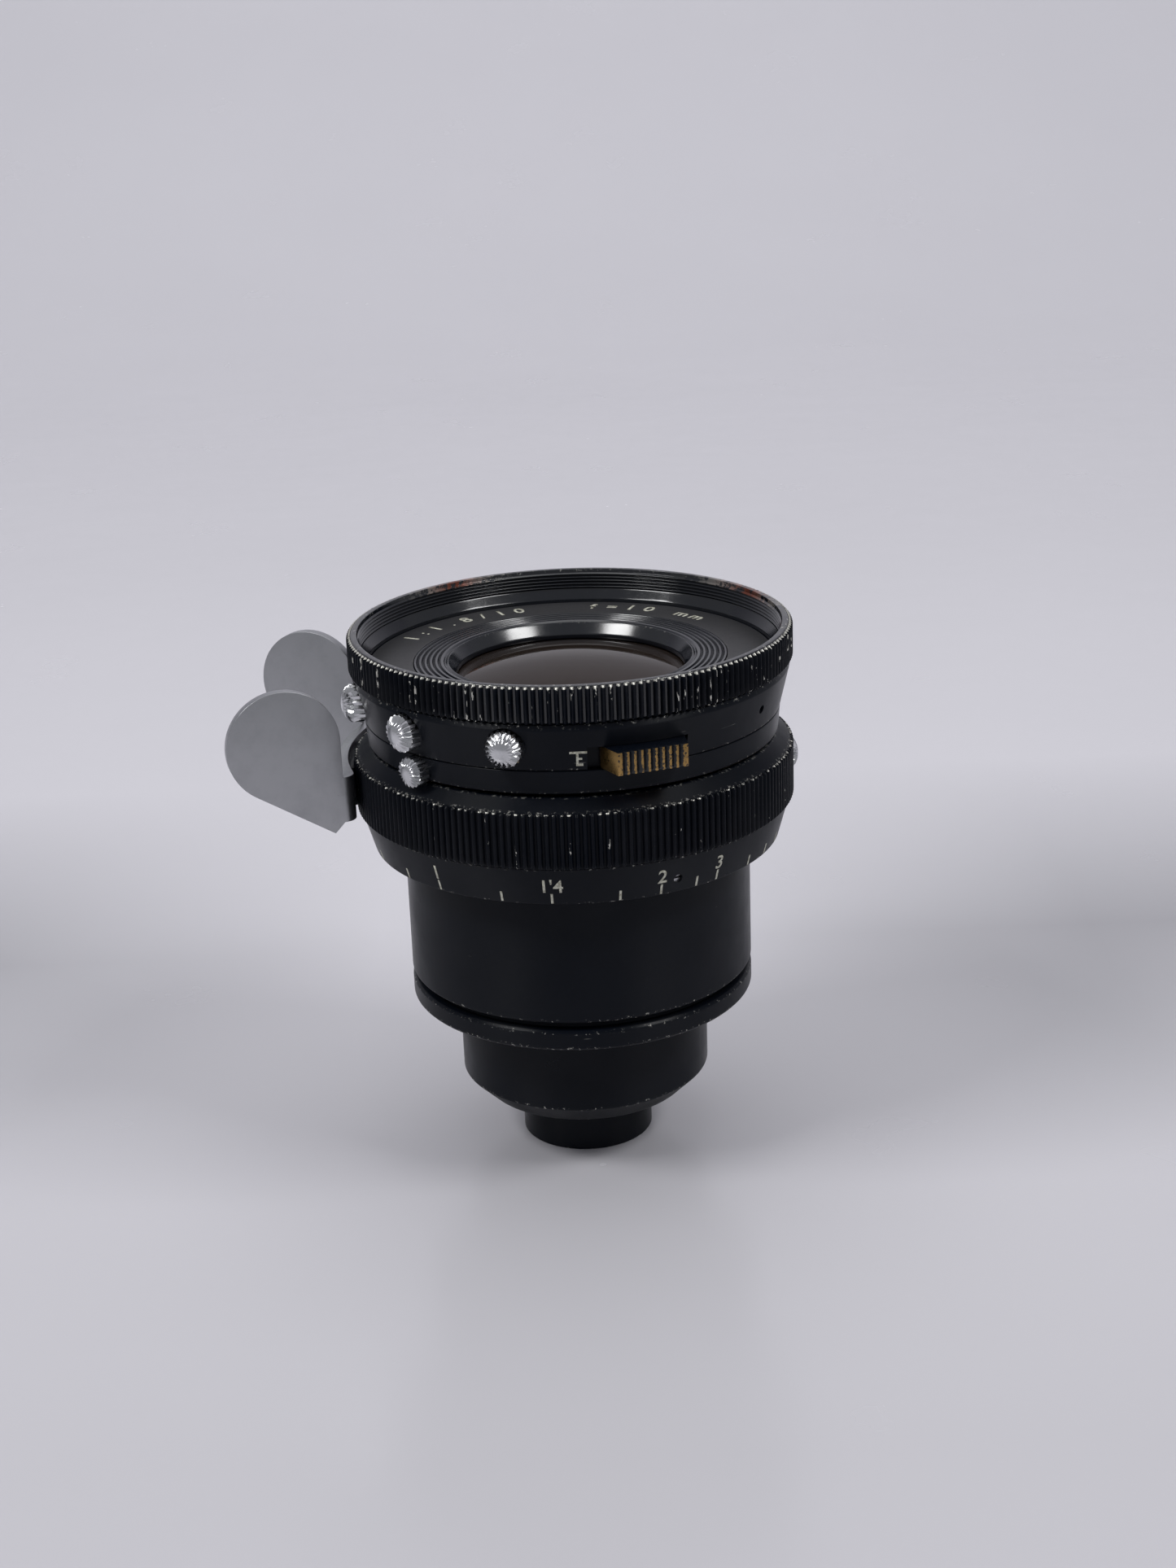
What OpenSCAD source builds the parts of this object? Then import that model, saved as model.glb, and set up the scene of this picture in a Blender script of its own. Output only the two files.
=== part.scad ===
// Wide-angle cine lens in a plain 41 mm spring-clip barrel, with focus ears.
// The optical axis is Z, the lens stands on its rear tube at z = 0 and looks up along +Z.
// Azimuths are degrees about Z, counted from -Y (the front) towards +X (the right).

/* [Camera mount] */
// Diameter of the barrel that slides into the camera
barrel_d = 41; // [40:0.1:42]
// Height of the seat that stops against the camera
seat_z = 38.6; // [37.6:0.1:39]
// Bottom of the rear flange
flange_z = 19.3; // [18.5:0.1:20]
// Diameter of the clip groove
groove_d = 38.4; // [37.6:0.1:39]

/* [Rear housing] */
// Diameter of the rear housing
housing_d = 30; // [29.8:0.1:30.6]
// Diameter of the rear tube
tube_d = 15.8; // [15.2:0.1:17]
// Length of the rear tube
tube_len = 6.4; // [6.3:0.1:6.5]

/* [Focus ring] */
// Diameter over the focus knurl
focus_d = 51.6; // [51:0.1:52]
// Bottom of the focus knurl
focus_z = 43.6; // [43.5:0.1:43.8]
// Top of the focus knurl
focus_top_z = 49.9; // [49.6:0.1:50.1]
// Diameter of the distance scale at its lower edge
scale_d = 48; // [47.4:0.1:48.6]
// Turn from infinity to the nearest distance, in degrees
focus_turn = 162; // [120:1:165]
// Azimuth of the infinity mark
infinity_az = 71; // [60:1:80]

/* [Focus ears] */
// Azimuth of the middle of the ears
ear_mid_az = -92.5; // [-100:0.5:-85]
// Half of the angle between the two ears
ear_half_angle = 20; // [16:0.5:24]
// Thickness of the ear sheet
ear_t = 1.15; // [0.8:0.05:1.3]
// Radius of an ear's round top
ear_r = 6.5; // [6:0.1:7]
// Inner radius of the strap between the ears
strap_r = 26.5; // [26.5:0.05:26.7]
// Inner radius of the bend between strap and ear
ear_bend_r = 0.35; // [0.35:0.05:0.6]

/* [Aperture ring] */
// Bottom of the aperture ring
aperture_z = 54.5; // [54.5:0.05:54.55]
// Diameter of the aperture ring at its lower edge
aperture_d = 48.5; // [48.2:0.1:48.7]
// Diameter of the aperture ring at its upper edge
aperture_top_d = 50.8; // [50.4:0.1:51]
// Azimuth of the middle stud
stud_az = -47; // [-60:1:-40]
// Angle between studs
stud_pitch = 30; // [20:1:32]
// Diameter of the heads of the three studs
stud_d = 4.4; // [3.8:0.1:4.4]
// Azimuth of the middle of the click slide
slide_az = 18; // [16:1:20]

/* [Front] */
// Diameter over the front knurl
front_d = 51.6; // [51.4:0.1:52]
// Bottom of the front ring
front_z = 60.1; // [60.1:0.05:60.2]
// Overall height
top_z = 64.3; // [64:0.1:64.8]
// Diameter of the filter thread
filter_d = 49; // [48.8:0.1:49.2]

/* [Glass] */
// Front radius of curvature of the front element
front_glass_r = 45; // [44:1:50]
// Height of the front element's vertex
front_vertex_z = 60.4; // [60.2:0.1:60.4]

/* [Iris] */
// Radius of the full opening
iris_open_r = 7.8; // [7.4:0.1:8]
// Turn of one blade for each degree of the aperture ring
blade_ratio = 0.61; // [0.5:0.01:0.62]

/* [Hidden] */
$fn = 96;
BLADES = 6;
barrel_r = barrel_d / 2;
groove_r = groove_d / 2;
housing_r = housing_d / 2;
tube_r = tube_d / 2;
focus_r = focus_d / 2;
scale_r = scale_d / 2;
aperture_r = aperture_d / 2;
aperture_top_r = aperture_top_d / 2;
front_r = front_d / 2;
filter_r = filter_d / 2;
run = 0.05;                        // radial clearance of a running fit
groove_z = flange_z + 2.55;        // bottom of the clip groove
barrel_z = groove_z + 0.95;        // bottom of the plain barrel
journal_r = 20;                    // where the focus ring turns
journal_top_z = 45;
optics_r = 17;                     // sliding optical barrel
front_journal_r = 22;              // where the aperture ring turns
spigot_r = 22.9;                   // focus ring under the scale ring
nut_r = 23.2;                      // helicoid nut
index_z = 51.75;                   // bottom of the fixed index ring
inner_r = 15.8;                    // inside of the optical barrel
helicoid_z = 47.2;                 // underside of the helicoid nut
stop_slot_clear = 2;               // play past the focus stops, in degrees
screw_circle_r = 22.2;             // helicoid screws
set_screw_az = [26.5, 146.5, 266.5];
strap_bottom = 43;                 // lowest point of the ears
strap_top = 49.6;
saddle_half_angle = 11;
ear_screw_z = 46.4;
ear_screw_az = [ear_mid_az - 7, ear_mid_az + 7];
stud_shank_r = 0.9;
stud_r = stud_d / 2;
stud_z = 57.3;
stud_seat_r = 24.9;                // spot face under the three studs
stud_side = 1.2;                   // height of a stud's fluted side
stud_dome_r = 2.9;
small_stud_r = 1.8;                // index stud and focus stud
index_stud_az = -45.5;
index_stud_z = 52.75;
focus_stud_az = 92;
focus_stud_z = 47.1;
focus_stud_seat_r = focus_r - 1.1;
aperture_half_turn = 30;
drive_az = 58;                     // screw between aperture ring and iris
drive_z = 57;
slide_travel = 3;
slide_r = 23.35;                   // inner face of the click slide
click_z = 55.9;                    // height of the click ball
slide_half_angle = 11.2;
pivot_r = 12.3;                    // blade pivots
tail_az = -15;                     // drive pin, behind the pivot
pin_r = 0.4;
blade_t = 0.12;
blade_pitch = 0.27;
blade_z = 43.25;
black = [0.05, 0.055, 0.065];
steel = [0.72, 0.73, 0.75];
bright = [0.85, 0.86, 0.88];
brassy = [0.62, 0.45, 0.2];
glassy = [0.5, 0.45, 0.42, 0.6];

// Turns its children, drawn about the +X ray, to an azimuth
module at_az(az) {
    rotate([0, 0, az - 90]) children();
}

// A ring between two radii and two heights
module tube(r_in, r_out, z0, z1) {
    translate([0, 0, z0]) difference() {
        cylinder(h = z1 - z0, r = r_out);
        translate([0, 0, -1]) cylinder(h = z1 - z0 + 2, r = r_in);
    }
}

// A turned piece from its outline of [radius, height] points
module turned(outline) {
    rotate_extrude() polygon(outline);
}

// A cylinder along a radius, from one distance to another, at an azimuth and a height
module radial_pin(az, z, r_from, r_to, r) {
    at_az(az) translate([r_from, 0, z]) rotate([0, 90, 0]) cylinder(h = r_to - r_from, r = r, $fn = 32);
}

// A rectangular arc slot centred on an azimuth
module arc_slot(az_from, az_to, r_in, r_out, z0, z1) {
    rotate([0, 0, az_from - 90]) rotate_extrude(angle = az_to - az_from)
        translate([r_in, z0]) square([r_out - r_in, z1 - z0]);
}

// A domed stud whose head starts at the given radius, with a shank of that length inside it
module stud(az, z, seat_r, head_r, shank) {
    drop = sqrt(stud_dome_r * stud_dome_r - head_r * head_r);
    at_az(az) translate([seat_r, 0, z]) rotate([0, 90, 0]) {
        translate([0, 0, -shank]) cylinder(h = shank + 0.2, r = stud_shank_r, $fn = 32);
        intersection() {
            cylinder(h = stud_side + 2, r = head_r, $fn = 48);
            translate([0, 0, stud_side - drop]) sphere(r = stud_dome_r, $fn = 60);
        }
    }
}

// A slotted cheese-head screw along +Z, its head on z = 0 and its thread below
module screw(head_r, head_h, thread_r, length) {
    difference() {
        union() {
            cylinder(h = head_h, r = head_r, $fn = 32);
            translate([0, 0, -length]) cylinder(h = length, r = thread_r, $fn = 24);
        }
        translate([-head_r, -head_r * 0.15, head_h * 0.5]) cube([2 * head_r, head_r * 0.3, head_h]);
    }
}

// A lens element: a disc cut by a sphere above and, if r_low isn't 0, one below.
// A negative r_low is a concave rear face of that radius.
module element(r, z_edge, vertex_z, r_top, low_vertex_z, r_low) {
    color(glassy) difference() {
        intersection() {
            translate([0, 0, low_vertex_z - 10]) cylinder(h = vertex_z - low_vertex_z + 20, r = r);
            translate([0, 0, vertex_z - r_top]) sphere(r = r_top, $fn = 180);
            if (r_low > 0) translate([0, 0, low_vertex_z + r_low]) sphere(r = r_low, $fn = 180);
            else translate([0, 0, z_edge]) cylinder(h = 30, r = r + 1);
        }
        if (r_low < 0) translate([0, 0, low_vertex_z + r_low]) sphere(r = -r_low, $fn = 180);
    }
}

module mount_barrel() {
    color(black) difference() {
        turned([[18, barrel_z], [barrel_r - 0.2, barrel_z], [barrel_r, barrel_z + 0.2],
            [barrel_r, seat_z], [22.3, seat_z], [22.3, seat_z + 0.8], [journal_r, seat_z + 0.8],
            [journal_r, journal_top_z], [18.6, journal_top_z], [18.6, 46.9],
            [optics_r + run, 46.9], [optics_r + run, 36], [17.6, 35.4], [17.6, 26.3],
            [18, 26.3]]);
        radial_pin(180, 31, 16, 21, 1.5);
        at_az(infinity_az) translate([barrel_r - 0.12, -0.12, seat_z - 2]) cube([1, 0.24, 1.6]);
    }
}

module rear_flange() {
    color(black) difference() {
        turned([[14.6, flange_z], [barrel_r - 0.25, flange_z], [barrel_r, flange_z + 0.25],
            [barrel_r, groove_z], [groove_r, groove_z], [groove_r, barrel_z], [18, barrel_z],
            [18, 26.3], [inner_r, 26.3], [inner_r, 22], [14.6, 22]]);
        for (az = [0, 180]) at_az(az) translate([16.6, -0.75, flange_z - 1]) cube([1.8, 1.5, 1.9]);
    }
}

module rear_housing() {
    color(black) turned([[7, tube_len], [12.4, tube_len], [housing_r, 9], [housing_r, flange_z],
        [14.6, flange_z], [14.6, 22], [13.6, 22], [13.6, 10.2], [11.8, 8], [7, 8]]);
}

module rear_tube() {
    color(black) turned([[6.5, 0.25], [6.75, 0], [tube_r - 0.25, 0], [tube_r, 0.25], [tube_r, tube_len],
        [7, tube_len], [7, 8.2], [6.5, 8.2]]);
}

module focus_retainer() {
    color(steel) difference() {
        tube(18.6, 21.2, journal_top_z + run, 46.9);
        for (az = [45:90:315]) at_az(az) translate([19.4, -0.5, 46.2]) cube([3, 1, 1]);
    }
}

module guide_key_screw() {
    color(steel) difference() {
        union() {
            radial_pin(180, 31, 15.9, 17.6, 1.2);
            radial_pin(180, 31, 17.6, barrel_r - 0.15, 1.5);
        }
        at_az(180) translate([barrel_r - 0.7, -1.6, 30.8]) cube([1, 3.2, 0.4]);
    }
}

module focus_stop_pin() {
    color(steel) at_az(infinity_az) translate([21.2, 0, seat_z + 0.8]) cylinder(h = 1, r = 0.5, $fn = 24);
}

module focus_ring() {
    color(black) difference() {
        turned([[journal_r + run, seat_z + 1], [spigot_r, seat_z + 1], [spigot_r, focus_z - 0.15],
            [focus_r - 0.4, focus_z - 0.15], [focus_r, focus_z + 0.25], [focus_r, focus_top_z],
            [23.8, 51.3], [nut_r, 51.3], [nut_r, helicoid_z], [21.5, helicoid_z], [21.5, journal_top_z],
            [journal_r + run, journal_top_z]]);
        arc_slot(infinity_az - focus_turn - stop_slot_clear, infinity_az + stop_slot_clear, 20.6, 21.8,
            seat_z, seat_z + 2.1);
        for (az = [45:90:315]) at_az(az) translate([screw_circle_r, 0, 44.9])
            cylinder(h = 3, r = 0.55, $fn = 24);
        radial_pin(focus_stud_az, focus_stud_z, focus_stud_seat_r - 1.5, focus_r + 1, stud_shank_r);
        radial_pin(focus_stud_az, focus_stud_z, focus_stud_seat_r, focus_r + 1, small_stud_r);
        for (az = ear_screw_az) radial_pin(az, ear_screw_z, 24.3, focus_r + 1, 0.7);
    }
}

module distance_scale_ring() {
    color(black) difference() {
        turned([[22.6, seat_z + 0.3], [scale_r, seat_z + 0.3], [25.3, focus_z - 0.15],
            [spigot_r, focus_z - 0.15], [spigot_r, seat_z + 1], [22.6, seat_z + 1]]);
        for (az = set_screw_az) radial_pin(az, seat_z + 2, 22, 26, 0.6);
    }
}

module scale_set_screws() {
    color(steel) for (az = set_screw_az) difference() {
        radial_pin(az, seat_z + 2, spigot_r, 24, 0.6);
        at_az(az) translate([23.6, -1, seat_z + 1.88]) cube([1, 2, 0.24]);
    }
}

module helicoid_nut() {
    color(brassy) difference() {
        tube(optics_r + run, nut_r, helicoid_z, helicoid_z + 2);
        for (az = [45:90:315]) at_az(az) translate([screw_circle_r, 0, helicoid_z]) {
            translate([0, 0, -0.2]) cylinder(h = 3, r = 0.6, $fn = 24);
            translate([0, 0, 1.3]) cylinder(h = 1, r = 0.95, $fn = 32);
        }
    }
}

module helicoid_screws() {
    color(steel) for (az = [45:90:315]) at_az(az) translate([screw_circle_r, 0, helicoid_z + 1.3])
        screw(0.95, 0.6, 0.55, 3.6);
}

// Points of an arc about a centre, ends included
function arc_points(centre, r, from, to, steps) =
    [for (i = [0:steps]) let (a = from + (to - from) * i / steps) centre + r * [cos(a), sin(a)]];

// Outline of one ear, [distance from the axis, height]
function ear_outline(r_in, bottom, top_mid) = let (mid = r_in + ear_r, slope = 33.6)
    concat([[r_in, bottom + 1.3], [r_in + 1.3, bottom]],
        [for (a = [-90 + slope:6:180]) [mid + ear_r * cos(a), top_mid + ear_r * sin(a)]]);

// Half of the bent sheet from above, with the strap's middle on +X: along the inside of the strap,
// round the outside of the bend to the end of the ear, and back along the other face
function half_sheet(r_end) = let (
        full = ear_bend_r + ear_t,
        centre = [strap_r + full, -ear_bend_r],
        end = ear_half_angle - asin(ear_bend_r / strap_r),
        bend = concat(arc_points(centre, full, 180, 90, 8), [[r_end, ear_t], [r_end, 0]],
            arc_points(centre, ear_bend_r, 90, 180, 6)),
        c = cos(ear_half_angle), s = sin(ear_half_angle))
    concat([for (i = [0:9]) strap_r * [cos(end * i / 10), sin(end * i / 10)]],
        [for (q = bend) [q[0] * c - q[1] * s, q[0] * s + q[1] * c]],
        [for (i = [9:-1:0]) (strap_r + ear_t) * [cos(end * i / 10), sin(end * i / 10)]]);

// One sheet, bent at both ends of the strap, cut to the strap's height and the ears' outline
module focus_ears() {
    ear_in = strap_r + ear_bend_r + ear_t + 0.05;
    half = half_sheet(ear_in + 2 * ear_r + 1);
    color(steel) difference() {
        intersection() {
            at_az(ear_mid_az) translate([0, 0, strap_bottom - 1]) linear_extrude(20)
                polygon(concat(half, [for (i = [len(half) - 2:-1:1]) [half[i][0], -half[i][1]]]));
            union() {
                translate([0, 0, strap_bottom + 1.2])
                    cylinder(h = strap_top - strap_bottom - 1.2, r = ear_in + 0.3);
                for (side = [-1, 1]) at_az(ear_mid_az + side * ear_half_angle) rotate([90, 0, 0])
                    translate([0, 0, -2 * ear_t]) linear_extrude(4 * ear_t)
                        polygon(ear_outline(ear_in, strap_bottom, strap_bottom + 11.1));
            }
        }
        for (az = ear_screw_az) radial_pin(az, ear_screw_z, 26, 29, 0.75);
    }
}

module ear_saddle() {
    color(black) difference() {
        arc_slot(ear_mid_az - saddle_half_angle, ear_mid_az + saddle_half_angle, focus_r, strap_r - 0.01,
            44.2, 48.8);
        for (az = ear_screw_az) radial_pin(az, ear_screw_z, 25, 28, 0.75);
    }
}

module ear_screws() {
    color(steel) for (az = ear_screw_az) at_az(az) translate([strap_r + ear_t, 0, ear_screw_z])
        rotate([0, 90, 0]) screw(1.3, 0.8, 0.7, 3.3);
}

module focus_stud() {
    color(bright) stud(focus_stud_az, focus_stud_z, focus_stud_seat_r, small_stud_r, 1.4);
}

module optical_barrel() {
    color(black) difference() {
        turned([[inner_r, 27], [optics_r, 27], [optics_r, index_z], [front_journal_r, index_z],
            [front_journal_r, 59.4], [20.8, 59.4], [20.8, 53], [inner_r, 53]]);
        at_az(180) translate([15, -1.25, 29.1]) cube([3, 2.5, 3.2]);
        arc_slot(drive_az - aperture_half_turn - 3, drive_az + aperture_half_turn + 3, 20, 23,
            drive_z - 0.8, drive_z + 0.8);
    }
}

module index_ring() {
    color(black) difference() {
        turned([[front_journal_r, index_z], [24, index_z], [aperture_r, index_z + 2.65],
            [front_journal_r, index_z + 2.65]]);
        radial_pin(index_stud_az, index_stud_z, 21, 25, stud_shank_r);
    }
}

module index_stud() {
    color(bright) stud(index_stud_az, index_stud_z, aperture_r + 0.15, small_stud_r, 2);
}

module front_ring() {
    color(black) turned([[front_journal_r, 58.3], [23.7, 58.3], [23.7, front_z], [front_r - 0.4, front_z],
        [front_r, front_z + 0.4], [front_r, top_z - 0.4], [front_r - 0.35, top_z], [filter_r + 0.35, top_z],
        [filter_r, top_z - 0.35], [filter_r, 61.4], [23.9, 61], [23.5, 60.6], [23.5, 59.4],
        [front_journal_r, 59.4]]);
}

module name_ring() {
    color(black) tube(18.25, 23.5, 59.4, 60.3);
}

module front_cell() {
    color(black) turned([[11.2, 56.2], [14.6, 56.2], [14.6, 58.5], [18.2, 58.5], [18.2, 59.4],
        [20.75, 59.4], [20.75, 58.2], [16.2, 58.2], [16.2, 55.5], [12.6, 55.5], [12.6, 47.6],
        [10.2, 47.6], [10.2, 51.4], [11.2, 51.4]]);
}

module front_retaining_ring() {
    grooves = 4;
    pitch = 0.95;
    color(black) difference() {
        turned([[13.2, 58.5], [18.2, 58.5], [18.2, 60.4], [14, 60.4]]);
        for (i = [0:grooves - 1]) tube(17.1 - i * pitch, 17.5 - i * pitch, 60.2, 61);
    }
}

module front_element() {
    element(14.6, 56.2, front_vertex_z, front_glass_r, 58.87, -24);
}

module second_element() {
    element(11.2, 51.4, 55.2, 30, 54.28, -14);
}

module second_retaining_ring() {
    color(black) tube(10.4, 11.2, 53.45, 54.5);
}

module iris_housing() {
    color(black) difference() {
        union() {
            tube(8.2, inner_r, 42, 43);
            tube(15.35, inner_r, 42, 45.05);
        }
        for (i = [0:BLADES - 1]) rotate([0, 0, i * 360 / BLADES]) translate([pivot_r, 0, 41])
            cylinder(h = 3, r = pin_r + run, $fn = 32);
    }
}

module iris_cover() {
    color(black) tube(14.4, inner_r, 46.15, 46.8);
}

module rear_cell() {
    color(black) turned([[9.8, 42], [inner_r, 42], [inner_r, 27.5], [13.2, 27.5], [13.2, 10.9], [11, 8.6],
        [6.2, 8.6], [6.2, 6], [5.6, 6], [5.6, 10], [5, 10], [5, 10.6], [7, 13], [7, 22], [8.2, 22],
        [8.2, 27.5], [9.8, 27.5]]);
}

module third_element() {
    element(9.8, 0, 42.3, 22, 36.3, 22);
}

module third_retaining_ring() {
    color(black) tube(9, 9.8, 40.45, 41.6);
}

module group_spacer() {
    color(black) tube(9.2, 9.8, 33.25, 38.3);
}

module doublet_crown() {
    element(9.8, 0, 34.9, 26, 28.25, 16);
}

module doublet_flint() {
    color(glassy) difference() {
        translate([0, 0, 27.5]) cylinder(h = 4.1, r = 9.8);
        translate([0, 0, 44.25]) sphere(r = 16, $fn = 180);
    }
}

module rear_spacer() {
    color(black) tube(7.6, 8.2, 23.85, 27.5);
}

module sixth_element() {
    element(8.2, 0, 25.5, 18, 20.6, 18);
}

module rear_element() {
    element(5.6, 0, 10.2, 60, 7.3, 14);
}

module rear_retaining_ring() {
    color(black) tube(4.9, 5.6, 6.6, 8.15);
}

module aperture_ring() {
    color(black) difference() {
        turned([[front_journal_r + run, aperture_z], [aperture_r, aperture_z],
            [aperture_top_r, 59.3], [aperture_top_r - 0.25, 59.95], [23.95, 59.95], [23.95, 58.15],
            [front_journal_r + run, 58.15]]);
        for (i = [-1:1]) {
            radial_pin(stud_az + i * stud_pitch, stud_z, 21, 26, stud_shank_r);
            radial_pin(stud_az + i * stud_pitch, stud_z, stud_seat_r, 27, stud_r);
        }
        radial_pin(drive_az, drive_z, 21, 26, 0.55);
        arc_slot(slide_az - slide_half_angle - slide_travel - 0.6, slide_az + slide_half_angle + 0.6,
            slide_r - run, 28, aperture_z - 1, 57.25);
        radial_pin(slide_az, click_z, 21, 23.5, 0.45);
    }
}

module aperture_studs() {
    color(bright) for (i = [-1:1]) stud(stud_az + i * stud_pitch, stud_z, stud_seat_r, stud_r, 1.6);
}

module aperture_drive_screw() {
    color(steel) radial_pin(drive_az, drive_z, 18.2, 23.9, 0.55);
}

module iris_drive_sleeve() {
    color(black) difference() {
        turned([[13.3, 46], [14.1, 46], [14.1, 53.6], [20.55, 53.6], [20.55, 57.8], [17, 57.8],
            [17, 54.6], [13.3, 54.6]]);
        radial_pin(drive_az, drive_z, 18.2, 21, 0.55);
    }
}

// Place of a blade's drive pin when the aperture ring has turned by a from fully open,
// as seen from the cam ring
function pin_at(a) = let (
        turn = tail_az / 2 - 90 + a * blade_ratio,
        arm = 2 * pivot_r * sin(-tail_az / 2),
        x = pivot_r + arm * cos(turn),
        y = arm * sin(turn))
    [x * cos(a) + y * sin(a), y * cos(a) - x * sin(a)];

// Centre of the circle through three points
function circle_centre(p, q, s) = let (
        d = 2 * (p[0] * (q[1] - s[1]) + q[0] * (s[1] - p[1]) + s[0] * (p[1] - q[1])),
        pp = p * p, qq = q * q, ss = s * s)
    [(pp * (q[1] - s[1]) + qq * (s[1] - p[1]) + ss * (p[1] - q[1])) / d,
     (pp * (s[0] - q[0]) + qq * (p[0] - s[0]) + ss * (q[0] - p[0])) / d];

// The cam ring at rest has turned half way, so the slots are drawn turned back by that much
module iris_cam_ring() {
    full = 2 * aperture_half_turn;
    from = pin_at(-1);
    mid = pin_at(full / 2);
    to = pin_at(full + 1);
    centre = circle_centre(from, mid, to);
    slot_r = norm(from - centre);
    half = pin_r + 0.2;
    start = atan2(to[1] - centre[1], to[0] - centre[0]);
    end = atan2(from[1] - centre[1], from[0] - centre[0]);
    color(steel) difference() {
        tube(8.3, 15.3, 45.2, 46);
        for (i = [0:BLADES - 1]) rotate([0, 0, i * 360 / BLADES + aperture_half_turn])
            translate([centre[0], centre[1], 45]) {
                rotate([0, 0, start]) rotate_extrude(angle = end - start)
                    translate([slot_r - half, 0]) square([2 * half, 2]);
                for (p = [from, to]) translate([p[0] - centre[0], p[1] - centre[1], 0])
                    cylinder(h = 2, r = half, $fn = 32);
            }
    }
}

// A brass block that slides along the aperture ring, ribbed across its face
module click_slide() {
    half_base = 4.8;
    half_face = 4;
    face = 27.2;
    bottom = aperture_z + 0.15;
    height = 2.55;
    ribs = 10;
    pitch = 2 * half_face / ribs;
    color(brassy) difference() {
        union() {
            at_az(slide_az) translate([0, 0, bottom]) linear_extrude(height)
                polygon([[23.9, -half_base], [face, -half_face], [face, half_face], [23.9, half_base]]);
            arc_slot(slide_az - slide_half_angle, slide_az + slide_half_angle, slide_r, 24.2, bottom,
                bottom + height);
        }
        at_az(slide_az) for (i = [1:ribs - 1])
            translate([face, -half_face + i * pitch, bottom - 1]) rotate([0, 0, 45])
                translate([-0.22, -0.22, 0]) cube([0.44, 0.44, height + 2]);
        for (az = [0, slide_travel]) at_az(slide_az + az) translate([slide_r - 0.2, 0, click_z])
            sphere(r = 0.4, $fn = 48);
    }
}

module click_ball() {
    color(bright) at_az(slide_az) translate([slide_r - 0.45, 0, click_z]) sphere(r = 0.4, $fn = 48);
}

module click_spring() {
    color(steel) radial_pin(slide_az, click_z, 22.1, slide_r - 0.85, 0.35);
}

// A thin crescent, drawn open about the +X ray, with its pivot pin below and its drive pin above
module blade(i) {
    level = blade_z + i * blade_pitch;
    body_r = 11.3;
    span = 84;
    tail = [pivot_r * cos(tail_az), pivot_r * sin(tail_az)];
    rotate([0, 0, i * 360 / BLADES]) translate([pivot_r, 0, 0])
        rotate([0, 0, aperture_half_turn * blade_ratio]) translate([-pivot_r, 0, 0]) color(black) {
            rotate_extrude(angle = span) translate([iris_open_r, level])
                square([body_r - iris_open_r, blade_t]);
            translate([pivot_r, 0, level]) cylinder(h = blade_t, r = 0.95, $fn = 32);
            translate([tail[0], tail[1], level]) cylinder(h = blade_t, r = 0.85, $fn = 32);
            rotate([0, 0, tail_az]) rotate_extrude(angle = -tail_az) translate([pivot_r - 0.6, level])
                square([1.2, blade_t]);
            rotate([0, 0, -2]) rotate_extrude(angle = 10) translate([iris_open_r + 1, level])
                square([pivot_r - iris_open_r - 0.6, blade_t]);
            translate([pivot_r, 0, 42.3]) cylinder(h = level + blade_t - 42.3, r = pin_r, $fn = 32);
            translate([tail[0], tail[1], level]) cylinder(h = 45.9 - level, r = pin_r, $fn = 32);
        }
}

mount_barrel();
rear_flange();
rear_housing();
rear_tube();
focus_retainer();
guide_key_screw();
focus_stop_pin();
focus_ring();
distance_scale_ring();
scale_set_screws();
helicoid_nut();
helicoid_screws();
focus_ears();
ear_saddle();
ear_screws();
focus_stud();
optical_barrel();
index_ring();
index_stud();
front_ring();
name_ring();
front_cell();
front_retaining_ring();
front_element();
second_element();
second_retaining_ring();
iris_housing();
iris_cover();
rear_cell();
third_element();
third_retaining_ring();
group_spacer();
doublet_crown();
doublet_flint();
rear_spacer();
sixth_element();
rear_element();
rear_retaining_ring();
aperture_ring();
aperture_studs();
aperture_drive_screw();
iris_drive_sleeve();
iris_cam_ring();
click_slide();
click_ball();
click_spring();
blade(0);  // iris_blade_1
blade(1);  // iris_blade_2
blade(2);  // iris_blade_3
blade(3);  // iris_blade_4
blade(4);  // iris_blade_5
blade(5);  // iris_blade_6
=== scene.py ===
import math

import bmesh
import bpy
from mathutils import Matrix, Vector


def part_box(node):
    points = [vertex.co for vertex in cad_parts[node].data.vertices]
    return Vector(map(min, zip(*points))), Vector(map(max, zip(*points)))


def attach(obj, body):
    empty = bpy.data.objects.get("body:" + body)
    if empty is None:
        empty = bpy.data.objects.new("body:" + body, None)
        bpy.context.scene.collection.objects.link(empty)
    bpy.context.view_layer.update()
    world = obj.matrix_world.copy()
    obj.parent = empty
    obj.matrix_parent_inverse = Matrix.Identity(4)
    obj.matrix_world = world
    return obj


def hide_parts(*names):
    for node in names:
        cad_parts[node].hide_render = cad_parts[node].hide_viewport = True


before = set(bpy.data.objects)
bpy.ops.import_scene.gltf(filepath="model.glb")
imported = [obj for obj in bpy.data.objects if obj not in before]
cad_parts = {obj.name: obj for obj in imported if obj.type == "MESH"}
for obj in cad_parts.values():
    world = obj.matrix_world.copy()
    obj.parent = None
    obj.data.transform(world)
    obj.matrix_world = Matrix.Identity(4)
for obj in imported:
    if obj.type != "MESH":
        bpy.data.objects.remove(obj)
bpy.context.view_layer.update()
mm = 0.001


def ringSize(node):
    # outer radius, bottom and top of a turned CAD node, in millimetres
    low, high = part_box(node)
    return high.x / mm, low.z / mm, high.z / mm


def along(azimuth, radius, height):
    # azimuth is measured about Z from the front (-Y) towards +X; millimetres in, metres out
    angle = math.radians(azimuth)
    return Vector((radius * math.sin(angle), -radius * math.cos(angle), height)) * mm


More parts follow.
